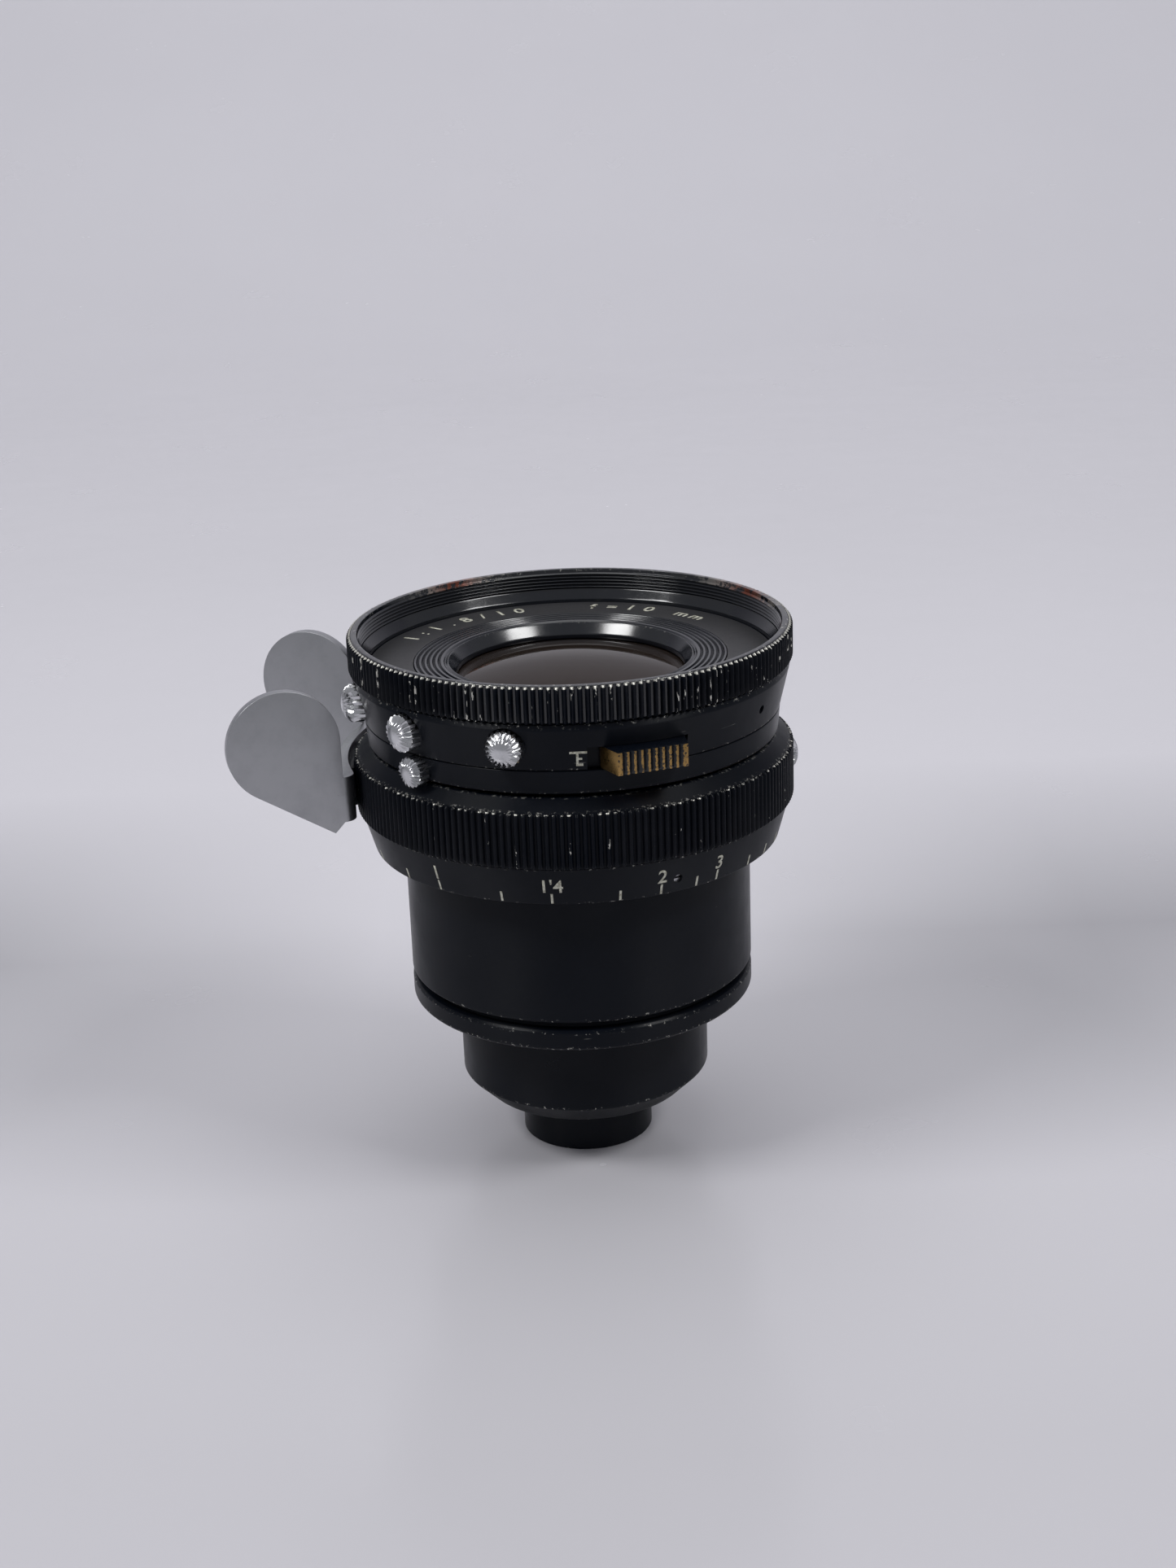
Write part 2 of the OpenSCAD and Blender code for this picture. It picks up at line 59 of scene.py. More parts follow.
def turnTo(azimuth):
    # turns what is drawn along +X to that azimuth
    return Matrix.Rotation(math.radians(azimuth - 90), 4, "Z")


def addObject(name, data):
    piece = bpy.data.objects.new(name, data)
    bpy.context.scene.collection.objects.link(piece)
    return piece


def meshOf(name, vertices, faces=()):
    mesh = bpy.data.meshes.new(name)
    mesh.from_pydata(vertices, [], faces)
    return mesh


def asMesh(name, shape):
    # a finished bmesh shape as a plain mesh
    mesh = bpy.data.meshes.new(name)
    shape.to_mesh(mesh)
    shape.free()
    return mesh


wearEnd = 0.3  # edge wear dies out within this distance of a corner


def softOutline(corners, size=0.12, steps=4):
    # rounds the corners of a closed [radius, height] outline; a third number is that corner's own size
    soft = []
    for i, corner in enumerate(corners):
        here = Vector(corner[:2])
        back = Vector(corners[i - 1][:2]) - here
        ahead = Vector(corners[(i + 1) % len(corners)][:2]) - here
        reach = min(corner[2] if len(corner) > 2 else size, back.length * 0.4, ahead.length * 0.4)
        if reach < 0.004:
            soft.append(here)
            continue
        start, end = here + back.normalized() * reach, here + ahead.normalized() * reach
        guard = max(1.5 * reach, wearEnd)
        if back.length > 2.5 * guard:
            soft.append(here + back.normalized() * guard)
        for k in range(steps + 1):
            t = k / steps
            soft.append(start * (1 - t) ** 2 + here * 2 * t * (1 - t) + end * t ** 2)
        if ahead.length > 2.5 * guard:
            soft.append(here + ahead.normalized() * guard)
    return soft


def turned(name, outline, segments=256):
    # a turned piece; points on the axis become a single pole, and every seam is shared
    rows = []
    vertices = []
    for radius, height in outline:
        around = 1 if radius < 1e-6 else segments
        rows.append((len(vertices), around))
        for k in range(around):
            angle = 2 * math.pi * k / segments
            vertices.append((radius * math.cos(angle) * mm, radius * math.sin(angle) * mm, height * mm))
    faces = []
    for i, (first, around) in enumerate(rows):
        nextFirst, nextAround = rows[(i + 1) % len(rows)]
        if around == 1 and nextAround == 1:
            continue
        for k in range(segments):
            j = (k + 1) % segments
            face = [first + k % around, first + j % around, nextFirst + j % nextAround,
                    nextFirst + k % nextAround]
            faces.append(list(dict.fromkeys(face)))
    return finishMesh(meshOf(name, vertices, faces))


def turnedPiece(name, outline, size=0.12, segments=256):
    return addObject(name, turned(name, softOutline(outline, size), segments))


def smoothed(mesh, angle):
    mesh.shade_smooth()
    mesh.set_sharp_from_angle(angle=math.radians(angle))
    return mesh


def finishMesh(mesh, angle=32):
    # merges doubles, turns faces outwards and shades smooth up to an angle
    shape = bmesh.new()
    shape.from_mesh(mesh)
    bmesh.ops.remove_doubles(shape, verts=shape.verts, dist=1e-7)
    bmesh.ops.recalc_face_normals(shape, faces=shape.faces)
    shape.to_mesh(mesh)
    shape.free()
    return smoothed(mesh, angle)


def joined(name, meshes):
    shape = bmesh.new()
    for mesh in meshes:
        shape.from_mesh(mesh)
    return asMesh(name, shape)


def evaluatedMesh(piece):
    bpy.context.view_layer.update()
    return bpy.data.meshes.new_from_object(piece.evaluated_get(bpy.context.evaluated_depsgraph_get()))


def settled(piece):
    # the piece with its modifiers turned into plain mesh
    mesh = evaluatedMesh(piece)
    piece.modifiers.clear()
    piece.data = mesh
    return piece


def cutWith(piece, cutters):
    # takes the cutter meshes out of the piece
    for cutter in cutters:
        tool = addObject("cutter", cutter)
        cut = piece.modifiers.new("cut", "BOOLEAN")
        cut.object = tool
        cut.solver = "EXACT"
        settled(piece)
        bpy.data.objects.remove(tool)
    finishMesh(piece.data)
    return piece


def rodMesh(azimuth, height, fromRadius, toRadius, radius, sides=28):
    # a round bar lying along a radius, as a cutter or a plain screw
    shape = bmesh.new()
    bmesh.ops.create_cone(shape, cap_ends=True, segments=sides, radius1=radius * mm, radius2=radius * mm,
                          depth=(toRadius - fromRadius) * mm)
    place = (Matrix.Translation(along(azimuth, (fromRadius + toRadius) / 2, height))
             @ turnTo(azimuth) @ Matrix.Rotation(math.pi / 2, 4, "Y"))
    bmesh.ops.transform(shape, matrix=place, verts=shape.verts)
    return asMesh("rod", shape)


def paintWear(piece, corners, reach=0.13):
    # "edgeWear" is 1 on the outer corners named as [radius, height, amount] and 0 elsewhere
    layer = piece.data.attributes.new("edgeWear", "FLOAT", "POINT")
    for vertex, value in zip(piece.data.vertices, layer.data):
        radius, height = math.hypot(vertex.co.x, vertex.co.y) / mm, vertex.co.z / mm
        for cornerRadius, cornerHeight, amount in corners:
            near = math.hypot(radius - cornerRadius, height - cornerHeight)
            if near < reach:
                value.value = max(value.value, amount * (1 - near / reach * 0.4))
    return piece


def wear(piece, body, finish, *nodes, slot="black_enamel"):
    # gives a piece its finish and its body, and hides the nodes it stands for; slot is not used
    if finish:
        piece.data.materials.clear()
        piece.data.materials.append(finishes[finish])
    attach(piece, body)
    if nodes:
        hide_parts(*nodes)
    return piece


def addNode(tree, kind, inputs=None, **settings):
    # one node: settings first, then input sockets by name or number
    node = tree.nodes.new(kind)
    for key, value in settings.items():
        setattr(node, key, value)
    for key, value in (inputs or {}).items():
        if isinstance(value, bpy.types.NodeSocket):
            tree.links.new(value, node.inputs[key])
        else:
            node.inputs[key].default_value = value
    return node


def shade(tree, kind, inputs=None, **settings):
    return addNode(tree, "ShaderNode" + kind, inputs, **settings)


def newMaterial(name):
    material = bpy.data.materials.new(name)
    material.use_nodes = True
    tree = material.node_tree
    tree.nodes.clear()
    return material, tree


def speckle(tree, size, detail=4, rough=0.6, stretch=None, offset=0.0):
    # noise whose blotches are about `size` millimetres across, on object coordinates
    place = shade(tree, "TexCoord").outputs["Object"]
    if stretch or offset:
        place = shade(tree, "Mapping", {"Vector": place, "Scale": stretch or (1, 1, 1),
                                        "Location": (offset, offset, offset)}).outputs[0]
    return shade(tree, "TexNoise", {"Vector": place, "Scale": 1 / (size * mm), "Detail": detail,
                                    "Roughness": rough}).outputs["Fac"]


def spread(tree, value, low, high, toLow=0.0, toHigh=1.0):
    return shade(tree, "MapRange", {"Value": value, "From Min": low, "From Max": high,
                                    "To Min": toLow, "To Max": toHigh}).outputs[0]


def sums(tree, operation, a, b, clamp=False):
    return shade(tree, "Math", {0: a, 1: b}, operation=operation, use_clamp=clamp).outputs[0]


def times(tree, a, b):
    return sums(tree, "MULTIPLY", a, b)


def blendColour(tree, factor, a, b, how="MIX"):
    return shade(tree, "Mix", {0: factor, 6: a, 7: b}, data_type="RGBA", blend_type=how).outputs[2]


def objectParts(tree):
    return shade(tree, "SeparateXYZ", {0: shade(tree, "TexCoord").outputs["Object"]}).outputs


def turningLines(tree, size):
    # fine rings left by the lathe tool: noise that changes with radius and height only
    parts = objectParts(tree)
    reach = sums(tree, "SQRT", sums(tree, "ADD", times(tree, parts[0], parts[0]),
                                    times(tree, parts[1], parts[1])), 0)
    lines = shade(tree, "CombineXYZ", {0: reach, 1: 0, 2: parts[2]}).outputs[0]
    return shade(tree, "TexNoise", {"Vector": lines, "Scale": 1 / (size * mm), "Detail": 2,
                                    "Roughness": 0.5}).outputs["Fac"]


def attribute(tree, name):
    return shade(tree, "Attribute", attribute_name=name).outputs["Fac"]


def bumped(tree, height, strength, distance=0.00003):
    return shade(tree, "Bump", {"Height": height, "Strength": strength, "Distance": distance}).outputs[0]


def painted(tree, inputs):
    # the surface shader, wired to the output
    surface = shade(tree, "BsdfPrincipled", inputs)
    shade(tree, "OutputMaterial", {"Surface": surface.outputs[0]})
    return surface


blackLook = {
    "paint": (0.0010, 0.0022, 0.0052, 1), "dusty": (0.007, 0.008, 0.011, 1),
    "bare": (0.60, 0.59, 0.54, 1), "rust": (0.20, 0.05, 0.025, 1),
    "gloss": (0.26, 0.40), "specular": 0.10, "grain": 0.10, "lines": 0.12,
}


def blackEnamel(name, scratches=0.0, rusty=False, chips=0.12, brushed=0.0, **changes):
    # black lacquer on metal, worn through where edgeWear meets the speckles
    # brushed: how far the tool marks draw a highlight upright
    look = {**blackLook, **changes}
    material, tree = newMaterial(name)
    low, high = look["gloss"]
    broad = speckle(tree, 7, 3)
    dust = spread(tree, speckle(tree, 0.5, 5, 0.75), 0.55, 0.85)
    colour = blendColour(tree, times(tree, dust, spread(tree, broad, 0.3, 0.7)),
                         look["paint"], look["dusty"])
    worn = times(tree, attribute(tree, "edgeWear"),
                 spread(tree, speckle(tree, 0.45, 4, 0.7, offset=0.013), 0.62 - 0.25 * chips,
                        0.70 - 0.25 * chips))
    if scratches:
        hair = speckle(tree, 0.9, 2, 0.5, stretch=(0.12, 0.12, 3.0), offset=0.031)
        sparse = spread(tree, speckle(tree, 4, 2, offset=0.07), 0.56, 0.66)
        marks = times(tree, spread(tree, hair, 0.715, 0.735), sparse)
        worn = sums(tree, "ADD", worn, times(tree, marks, scratches), clamp=True)
    bare = look["bare"]
    if rusty:
        rust = attribute(tree, "rust")
        bare = blendColour(tree, rust, look["bare"], look["rust"])
        patches = spread(tree, speckle(tree, 0.9, 4, 0.7, offset=0.04), 0.46, 0.54)
        worn = sums(tree, "MAXIMUM", worn, times(tree, rust, patches))
    colour = blendColour(tree, worn, colour, bare)
    rough = sums(tree, "ADD", spread(tree, broad, 0.3, 0.7, low, high),
                 times(tree, dust, 0.12))
    height = sums(tree, "ADD", times(tree, speckle(tree, 0.12, 2), look["grain"]),
                  times(tree, turningLines(tree, 0.16), look["lines"]))
    height = sums(tree, "SUBTRACT", height, times(tree, worn, 0.35))
    surface = painted(tree, {"Base Color": colour, "Roughness": rough, "Normal": bumped(tree, height, 0.5),
                             "Metallic": times(tree, worn, 0.75), "Specular IOR Level": look["specular"],
                             "Anisotropic": brushed, "Anisotropic Rotation": 0.25})
    if brushed:
        around = shade(tree, "Tangent", direction_type="RADIAL", axis="Z").outputs[0]
        tree.links.new(around, surface.inputs["Tangent"])
    return material


def toothEnamel(name, worn):
    # knurl lacquer: crests and ridge ends rub through, some ridges more than others
    look = blackLook
    material, tree = newMaterial(name)
    crest, luck = attribute(tree, "crest"), attribute(tree, "toothWear")
    fine = speckle(tree, 0.35, 4, 0.7)
    chance = sums(tree, "ADD", fine, times(tree, luck, 0.2))
    flecks = times(tree, spread(tree, attribute(tree, "topEnd"), 0.35, 0.6),
                  spread(tree, chance, 0.72 - 0.36 * worn, 0.78 - 0.36 * worn))
    rub = sums(tree, "MAXIMUM", flecks, times(tree, spread(tree, crest, 0.8, 1.0),
                                             spread(tree, chance, 0.80, 0.84)))
    streak = speckle(tree, 0.45, 3, 0.6, stretch=(1, 1, 0.35), offset=0.02)
    flakes = times(tree, spread(tree, crest, 0.40, 0.5),
                  spread(tree, sums(tree, "ADD", streak, times(tree, luck, 0.25)),
                         0.95 - 0.16 * worn, 0.98 - 0.16 * worn))
    bareShare = sums(tree, "MAXIMUM", rub, flakes)
    broad = speckle(tree, 6, 3)
    colour = blendColour(tree, spread(tree, broad, 0.35, 0.7), look["paint"], look["dusty"])
    colour = blendColour(tree, bareShare, colour, look["bare"])
    rough = sums(tree, "ADD", spread(tree, fine, 0.3, 0.7, 0.28, 0.42), times(tree, bareShare, 0.05))
    painted(tree, {"Base Color": colour, "Roughness": rough, "Metallic": times(tree, bareShare, 0.8),
                   "Normal": bumped(tree, sums(tree, "SUBTRACT", fine, bareShare), 0.35),
                   "Specular IOR Level": look["specular"]})
    return material


metalLook = {
    "aluminium": {"tone": (0.41, 0.415, 0.43, 1), "dark": (0.30, 0.305, 0.32, 1), "gloss": (0.30, 0.42)},
    "chrome": {"tone": (0.66, 0.665, 0.68, 1), "dark": (0.28, 0.28, 0.29, 1), "gloss": (0.10, 0.22)},
    "steel": {"tone": (0.52, 0.52, 0.54, 1), "dark": (0.22, 0.22, 0.23, 1), "gloss": (0.24, 0.38)},
    "brass": {"tone": (0.40, 0.25, 0.09, 1), "dark": (0.14, 0.08, 0.035, 1), "gloss": (0.24, 0.36)},
    "blackSteel": {"tone": (0.035, 0.036, 0.040, 1), "dark": (0.015, 0.015, 0.017, 1),
                   "gloss": (0.30, 0.42)},
}


def bareMetal(name, metal, smudges=0.5, paintedBy=None):
    # polished or rolled metal with handling smudges; black where the attribute paintedBy is 1
    look = metalLook[metal]
    material, tree = newMaterial(name)
    cloud = speckle(tree, 3.2, 5, 0.65)
    fine = speckle(tree, 0.35, 4, 0.7)
    tarnish = times(tree, spread(tree, cloud, 0.45, 0.75), smudges)
    specks = spread(tree, speckle(tree, 0.7, 3, 0.7, offset=0.05), 0.70, 0.74)
    dirt = sums(tree, "MAXIMUM", tarnish, times(tree, specks, smudges))
    colour = blendColour(tree, dirt, look["tone"], look["dark"])
    rough = sums(tree, "ADD", spread(tree, fine, 0.3, 0.7, look["gloss"][0], look["gloss"][1]),
                 times(tree, dirt, 0.15))
    metallic = 1.0
    if paintedBy:
        ragged = spread(tree, speckle(tree, 0.3, 4), 0.3, 0.7, -0.35, 0.35)
        edge = sums(tree, "ADD", attribute(tree, paintedBy), ragged)
        cover = spread(tree, edge, 0.42, 0.58)
        colour = blendColour(tree, cover, colour, blackLook["paint"])
        metallic = sums(tree, "SUBTRACT", 1.0, cover)
    painted(tree, {"Base Color": colour, "Roughness": rough, "Metallic": metallic,
                   "Normal": bumped(tree, fine, 0.25, 0.00002)})
    return material


def engravedPaint(name):
    # old cream paint in the engraving, dirty and partly gone
    material, tree = newMaterial(name)
    faded = spread(tree, speckle(tree, 0.35, 4, 0.7), 0.40, 0.66)
    colour = blendColour(tree, faded, (0.58, 0.58, 0.50, 1), (0.24, 0.23, 0.17, 1))
    painted(tree, {"Base Color": colour, "Roughness": 0.62, "Normal": bumped(tree, faded, 0.3, 0.00002)})
    return material


def coatedGlass(name, clear, tone=(0.80, 0.70, 0.62, 1)):
    # lens glass; the front one carries a warm brown coating
    material, tree = newMaterial(name)
    haze = spread(tree, speckle(tree, 2.5, 4, 0.6), 0.35, 0.75, 0.02, 0.07)
    painted(tree, {"Base Color": tone, "Roughness": haze, "IOR": 1.3, "Transmission Weight": clear,
                   "Specular Tint": (0.72, 0.58, 0.52, 1)})
    return material


finishes = {
    "enamel": blackEnamel("blackEnamel", specular=0.16, brushed=0.9),
    "barrel": blackEnamel("barrelEnamel", specular=0.16, gloss=(0.30, 0.42), scratches=0.35, brushed=0.9),
    "rim": blackEnamel("rimEnamel", specular=0.7, lines=0.03, gloss=(0.10, 0.16), rusty=True, chips=0.1),
    "knurl": blackEnamel("knurlEnamel", gloss=(0.30, 0.42), chips=0.3),
    "satin": blackEnamel("satinBlack", paint=(0.030, 0.030, 0.032, 1), specular=0.3, gloss=(0.34, 0.42)),
    "gloss": blackEnamel("glossBlack", specular=0.8, lines=0.05, gloss=(0.12, 0.2)),
    "matt": blackEnamel("mattBlack", specular=0.2, gloss=(0.6, 0.75)),
    "aluminium": bareMetal("bareAluminium", "aluminium", 0.4),
    "chrome": bareMetal("chromedBrass", "chrome", 0.6),
    "steel": bareMetal("steel", "steel", 0.5),
    "brass": bareMetal("brass", "brass", 0.6),
    "slide": bareMetal("wornBrass", "brass", 0.5, paintedBy="painted"),
    "blade": bareMetal("blackenedSteel", "blackSteel", 0.4),
    "toothBlack": toothEnamel("toothEnamel", 0.3),
    "frontTooth": toothEnamel("frontToothEnamel", 0.85),
    "cream": engravedPaint("creamPaint"),
    "frontGlass": coatedGlass("coatedGlass", 0.15, (0.020, 0.014, 0.011, 1)),
    "glass": coatedGlass("innerGlass", 1.0),
}
print("materials made")


def geo(tree, kind, inputs=None, **settings):
    return addNode(tree, "GeometryNode" + kind, inputs, **settings)


def newTree(name, inputs):
    tree = bpy.data.node_groups.new(name, "GeometryNodeTree")
    tree.interface.new_socket(name="Geometry", in_out="INPUT", socket_type="NodeSocketGeometry")
    for label, kind in inputs:
        tree.interface.new_socket(name=label, in_out="INPUT", socket_type="NodeSocket" + kind)
    tree.interface.new_socket(name="Geometry", in_out="OUTPUT", socket_type="NodeSocketGeometry")
    return tree


def finishTree(tree, geometry, material):
    realized = geo(tree, "RealizeInstances", {"Geometry": geometry})
    painted = geo(tree, "SetMaterial", {"Geometry": realized.outputs[0], "Material": material})
    last = tree.nodes.new("NodeGroupOutput")
    tree.links.new(painted.outputs[0], last.inputs["Geometry"])


def facingOut(tree):
    # turns each copy so that its X axis points away from the lens axis
    place = geo(tree, "InputPosition").outputs[0]
    parts = shade(tree, "SeparateXYZ", {0: place}).outputs
    angle = shade(tree, "Math", {0: parts[1], 1: parts[0]}, operation="ARCTAN2").outputs[0]
    return shade(tree, "CombineXYZ", {2: angle}).outputs[0]


def knurlTree():
    # one ridge, a cube grid pulled to a rounded crest with sloping ends, copied round a circle
    tree = newTree("straightKnurl", [("Teeth", "Int"), ("Root radius", "Float"), ("Height", "Float"),
                                     ("Width", "Float"), ("Length", "Float"), ("Middle", "Float"),
                                     ("Crest share", "Float"), ("End slope", "Float"), ("Seed", "Int"),
                                     ("Material", "Material")])
    given = tree.nodes.new("NodeGroupInput").outputs

    def calc(operation, a, b=0.0, c=0.0):
        return shade(tree, "Math", {0: a, 1: b, 2: c}, operation=operation).outputs[0]

    def product(a, b):
        return calc("MULTIPLY", a, b)

    def fraction(axis, size):
        # where the grid point is along an axis, from -1 to 1
        place = geo(tree, "InputPosition").outputs[0]
        part = shade(tree, "SeparateXYZ", {0: place}).outputs[axis]
        return calc("DIVIDE", product(part, 2.0), size)

    size = shade(tree, "CombineXYZ", {0: given["Height"], 1: given["Width"], 2: given["Length"]})
    ridge = geo(tree, "MeshCube", {"Size": size.outputs[0], "Vertices X": 2, "Vertices Y": 4,
                                   "Vertices Z": 4}).outputs["Mesh"]
    x, y, z = fraction(0, given["Height"]), fraction(1, given["Width"]), fraction(2, given["Length"])
    up = product(calc("ADD", x, 1.0), 0.5)
    nearMiddle = calc("LESS_THAN", calc("ABSOLUTE", y), 0.5)
    atEnd = calc("GREATER_THAN", calc("ABSOLUTE", z), 0.5)
    narrowing = calc("SUBTRACT", 1.0, product(up, calc("SUBTRACT", 1.0, given["Crest share"])))
    newY = product(product(y, narrowing), product(given["Width"], 0.5))
    crown = product(product(up, nearMiddle), product(given["Height"], 0.16))
    drop = product(product(up, atEnd), given["End slope"])
    newX = calc("SUBTRACT", calc("ADD", product(up, product(given["Height"], 0.84)), crown), drop)
    half = product(given["Length"], 0.5)
    inner = calc("SUBTRACT", half, product(given["End slope"], 1.1))
    reach = calc("ADD", product(atEnd, half), product(calc("SUBTRACT", 1.0, atEnd), inner))
    newZ = product(calc("SIGN", z), reach)
    place = shade(tree, "CombineXYZ", {0: newX, 1: newY, 2: newZ}).outputs[0]
    edge = product(up, calc("ADD", product(atEnd, 0.5), 0.5))
    upper = product(product(up, atEnd), calc("GREATER_THAN", z, 0.0))
    marked = ridge
    for label, value in (("crest", edge), ("topEnd", upper)):
        marked = geo(tree, "StoreNamedAttribute", {"Geometry": marked, "Name": label, "Value": value},
                     data_type="FLOAT", domain="POINT").outputs[0]
    shaped = geo(tree, "SetPosition", {"Geometry": marked, "Position": place}).outputs[0]
    ring = geo(tree, "MeshCircle", {"Vertices": given["Teeth"], "Radius": given["Root radius"]})
    lift = shade(tree, "CombineXYZ", {2: given["Middle"]}).outputs[0]
    raised = geo(tree, "SetPosition", {"Geometry": ring.outputs[0], "Offset": lift}).outputs[0]
    copies = geo(tree, "InstanceOnPoints", {"Points": raised, "Instance": shaped,
                                            "Rotation": facingOut(tree)}).outputs[0]
    luck = addNode(tree, "FunctionNodeRandomValue", {"Seed": given["Seed"]}, data_type="FLOAT").outputs[1]
    chosen = geo(tree, "StoreNamedAttribute", {"Geometry": copies, "Name": "toothWear", "Value": luck},
                 data_type="FLOAT", domain="INSTANCE").outputs[0]
    finishTree(tree, chosen, given["Material"])
    return tree


def copiesTree():
    # puts a given object on every point, facing away from the axis
    tree = newTree("copiesRoundAxis", [("Copied", "Object"), ("Material", "Material")])
    given = tree.nodes.new("NodeGroupInput").outputs
    source = geo(tree, "ObjectInfo", {"Object": given["Copied"]}).outputs["Geometry"]
    copies = geo(tree, "InstanceOnPoints", {"Points": given["Geometry"], "Instance": source,
                                            "Rotation": facingOut(tree)}).outputs[0]
    finishTree(tree, copies, given["Material"])
    return tree


def grown(name, tree, inputs, points=()):
    # runs a tree on an object of loose points and keeps the result as a plain mesh
    piece = addObject(name, meshOf(name, list(points)))
    modifier = piece.modifiers.new(name, "NODES")
    modifier.node_group = tree
    for socket in tree.interface.items_tree:
        if socket.in_out == "INPUT" and socket.name in inputs:
            modifier[socket.identifier] = inputs[socket.name]
    return settled(piece)


knurling, copying = knurlTree(), copiesTree()


def knurlPiece(name, look, material):
    piece = grown(name, knurling, {
        "Teeth": look["teeth"], "Root radius": look["root"] * mm, "Height": look["height"] * mm,
        "Width": look["width"] * mm, "Length": (look["top"] - look["bottom"]) * mm,
        "Middle": (look["top"] + look["bottom"]) / 2 * mm, "Crest share": look["crestShare"],
        "End slope": look["endSlope"] * mm, "Seed": look["seed"], "Material": material})
    smoothed(piece.data, 38)
    return piece


def copiesPiece(name, mesh, points, material):
    source = addObject(name + "Source", mesh)
    piece = grown(name, copying, {"Copied": source, "Material": material}, points)
    bpy.data.objects.remove(source)
    smoothed(piece.data, 35)
    return piece


def rearPieces():
    look = {"round": 0.18, "bore": 6.5, "tubeStep": 0.9, "shoulder": 2.6, "cupBore": 7, "cupWall": 1.2,
            "cupInside": 13.6, "spigot": 0.4, "chamfer": 0.35, "groove": 19.2, "grooveHeight": 2.55,
            "grooveWidth": 0.95, "thread": 18, "notch": 0.7}
    bore, step, shoulder, spigot = look["bore"], look["tubeStep"], look["shoulder"], look["spigot"]
    tubeRadius, tubeLow, tubeHigh = ringSize("rear_tube")
    houseRadius, houseLow, houseHigh = ringSize("rear_housing")
    flangeRadius, flangeLow, flangeHigh = ringSize("rear_flange")
    tube = turnedPiece("rearTube", [
        (bore, tubeLow), (tubeRadius, tubeLow), (tubeRadius, houseLow), (tubeRadius - step, houseLow),
        (tubeRadius - step, tubeHigh), (bore, tubeHigh)], look["round"])
    paintWear(tube, [(tubeRadius, tubeLow, 1.0)])
    wear(tube, "barrel", "enamel", "rear_tube")
    floorTop = houseLow + look["cupWall"]
    house = turnedPiece("rearHousing", [
        (look["cupBore"], houseLow), (houseRadius - shoulder, houseLow), (houseRadius, houseLow + shoulder),
        (houseRadius, flangeLow), (houseRadius - spigot, flangeLow), (houseRadius - spigot, houseHigh),
        (look["cupInside"], houseHigh), (look["cupInside"], houseLow + 2.5), (11, floorTop),
        (look["cupBore"], floorTop)], look["round"])
    paintWear(house, [(houseRadius - shoulder, houseLow, 0.8), (houseRadius, houseLow + shoulder, 1.0)], 0.25)
    wear(house, "barrel", "enamel", "rear_housing")
    groove, chamfer, thread = flangeLow + look["grooveHeight"], look["chamfer"], look["thread"]
    grooveTop = groove + look["grooveWidth"]
    flange = turnedPiece("rearFlange", [
        (houseRadius - spigot, flangeLow), (flangeRadius - chamfer, flangeLow),
        (flangeRadius, flangeLow + chamfer), (flangeRadius, groove - 0.3), (flangeRadius - 0.3, groove),
        (look["groove"], groove), (look["groove"], grooveTop), (thread, grooveTop), (thread, flangeHigh),
        (houseRadius - spigot, flangeHigh)])
    cutWith(flange, [rodMesh(azimuth, flangeLow + 0.2, 16.2, 18.4, look["notch"]) for azimuth in (0, 180)])
    paintWear(flange, [(flangeRadius - chamfer, flangeLow, 1.0), (flangeRadius, flangeLow + chamfer, 1.0),
                       (flangeRadius, groove - 0.3, 0.7)], 0.2)
    wear(flange, "barrel", "barrel", "rear_flange")


rearPieces()
print("rear pieces made")


def barrelPiece():
    look = {"bore": 17.05, "rearBore": 17.6, "thread": 18, "journal": 20, "neck": 18.6, "edge": 0.2,
            "keyHeight": 31, "keyHole": 1.5}
    bore, rearBore, thread, journal, neck = (look[k] for k in ("bore", "rearBore", "thread", "journal", "neck"))
    radius, edge = ringSize("rear_flange")[0], look["edge"]
    collar, low, high = ringSize("mount_barrel")
    seat = ringSize("distance_scale_ring")[1] - 0.3
    piece = turnedPiece("mountBarrel", [
        (thread, low), (radius - edge, low), (radius, low + edge), (radius, seat), (collar, seat),
        (collar, seat + 0.8), (journal, seat + 0.8), (journal, high - 1.9), (neck, high - 1.9), (neck, high),
        (bore, high), (bore, low + 13.2), (rearBore, low + 12.6), (rearBore, low + 3.5),
        (thread, low + 3.5)], 0.15)
    cutWith(piece, [rodMesh(180, look["keyHeight"], 16, 21.5, look["keyHole"])])
    paintWear(piece, [(radius, low + edge, 1.0), (radius - edge, low, 1.0)], 0.22)
    wear(piece, "barrel", "barrel", "mount_barrel")


barrelPiece()
print("barrel made")


focusLook = {"teeth": 192, "height": 0.42, "width": 0.62, "crestShare": 0.55, "endSlope": 0.2, "seed": 4,
             "bore": 20.05, "spigot": 22.9, "brow": 23.8, "slope": 1.4, "inside": 21.5, "nutDepth": 4.1,
             "journalDepth": 6.3, "studAzimuth": 92, "studHeight": 47.1, "studDepth": 1.1, "pocket": 1.85}


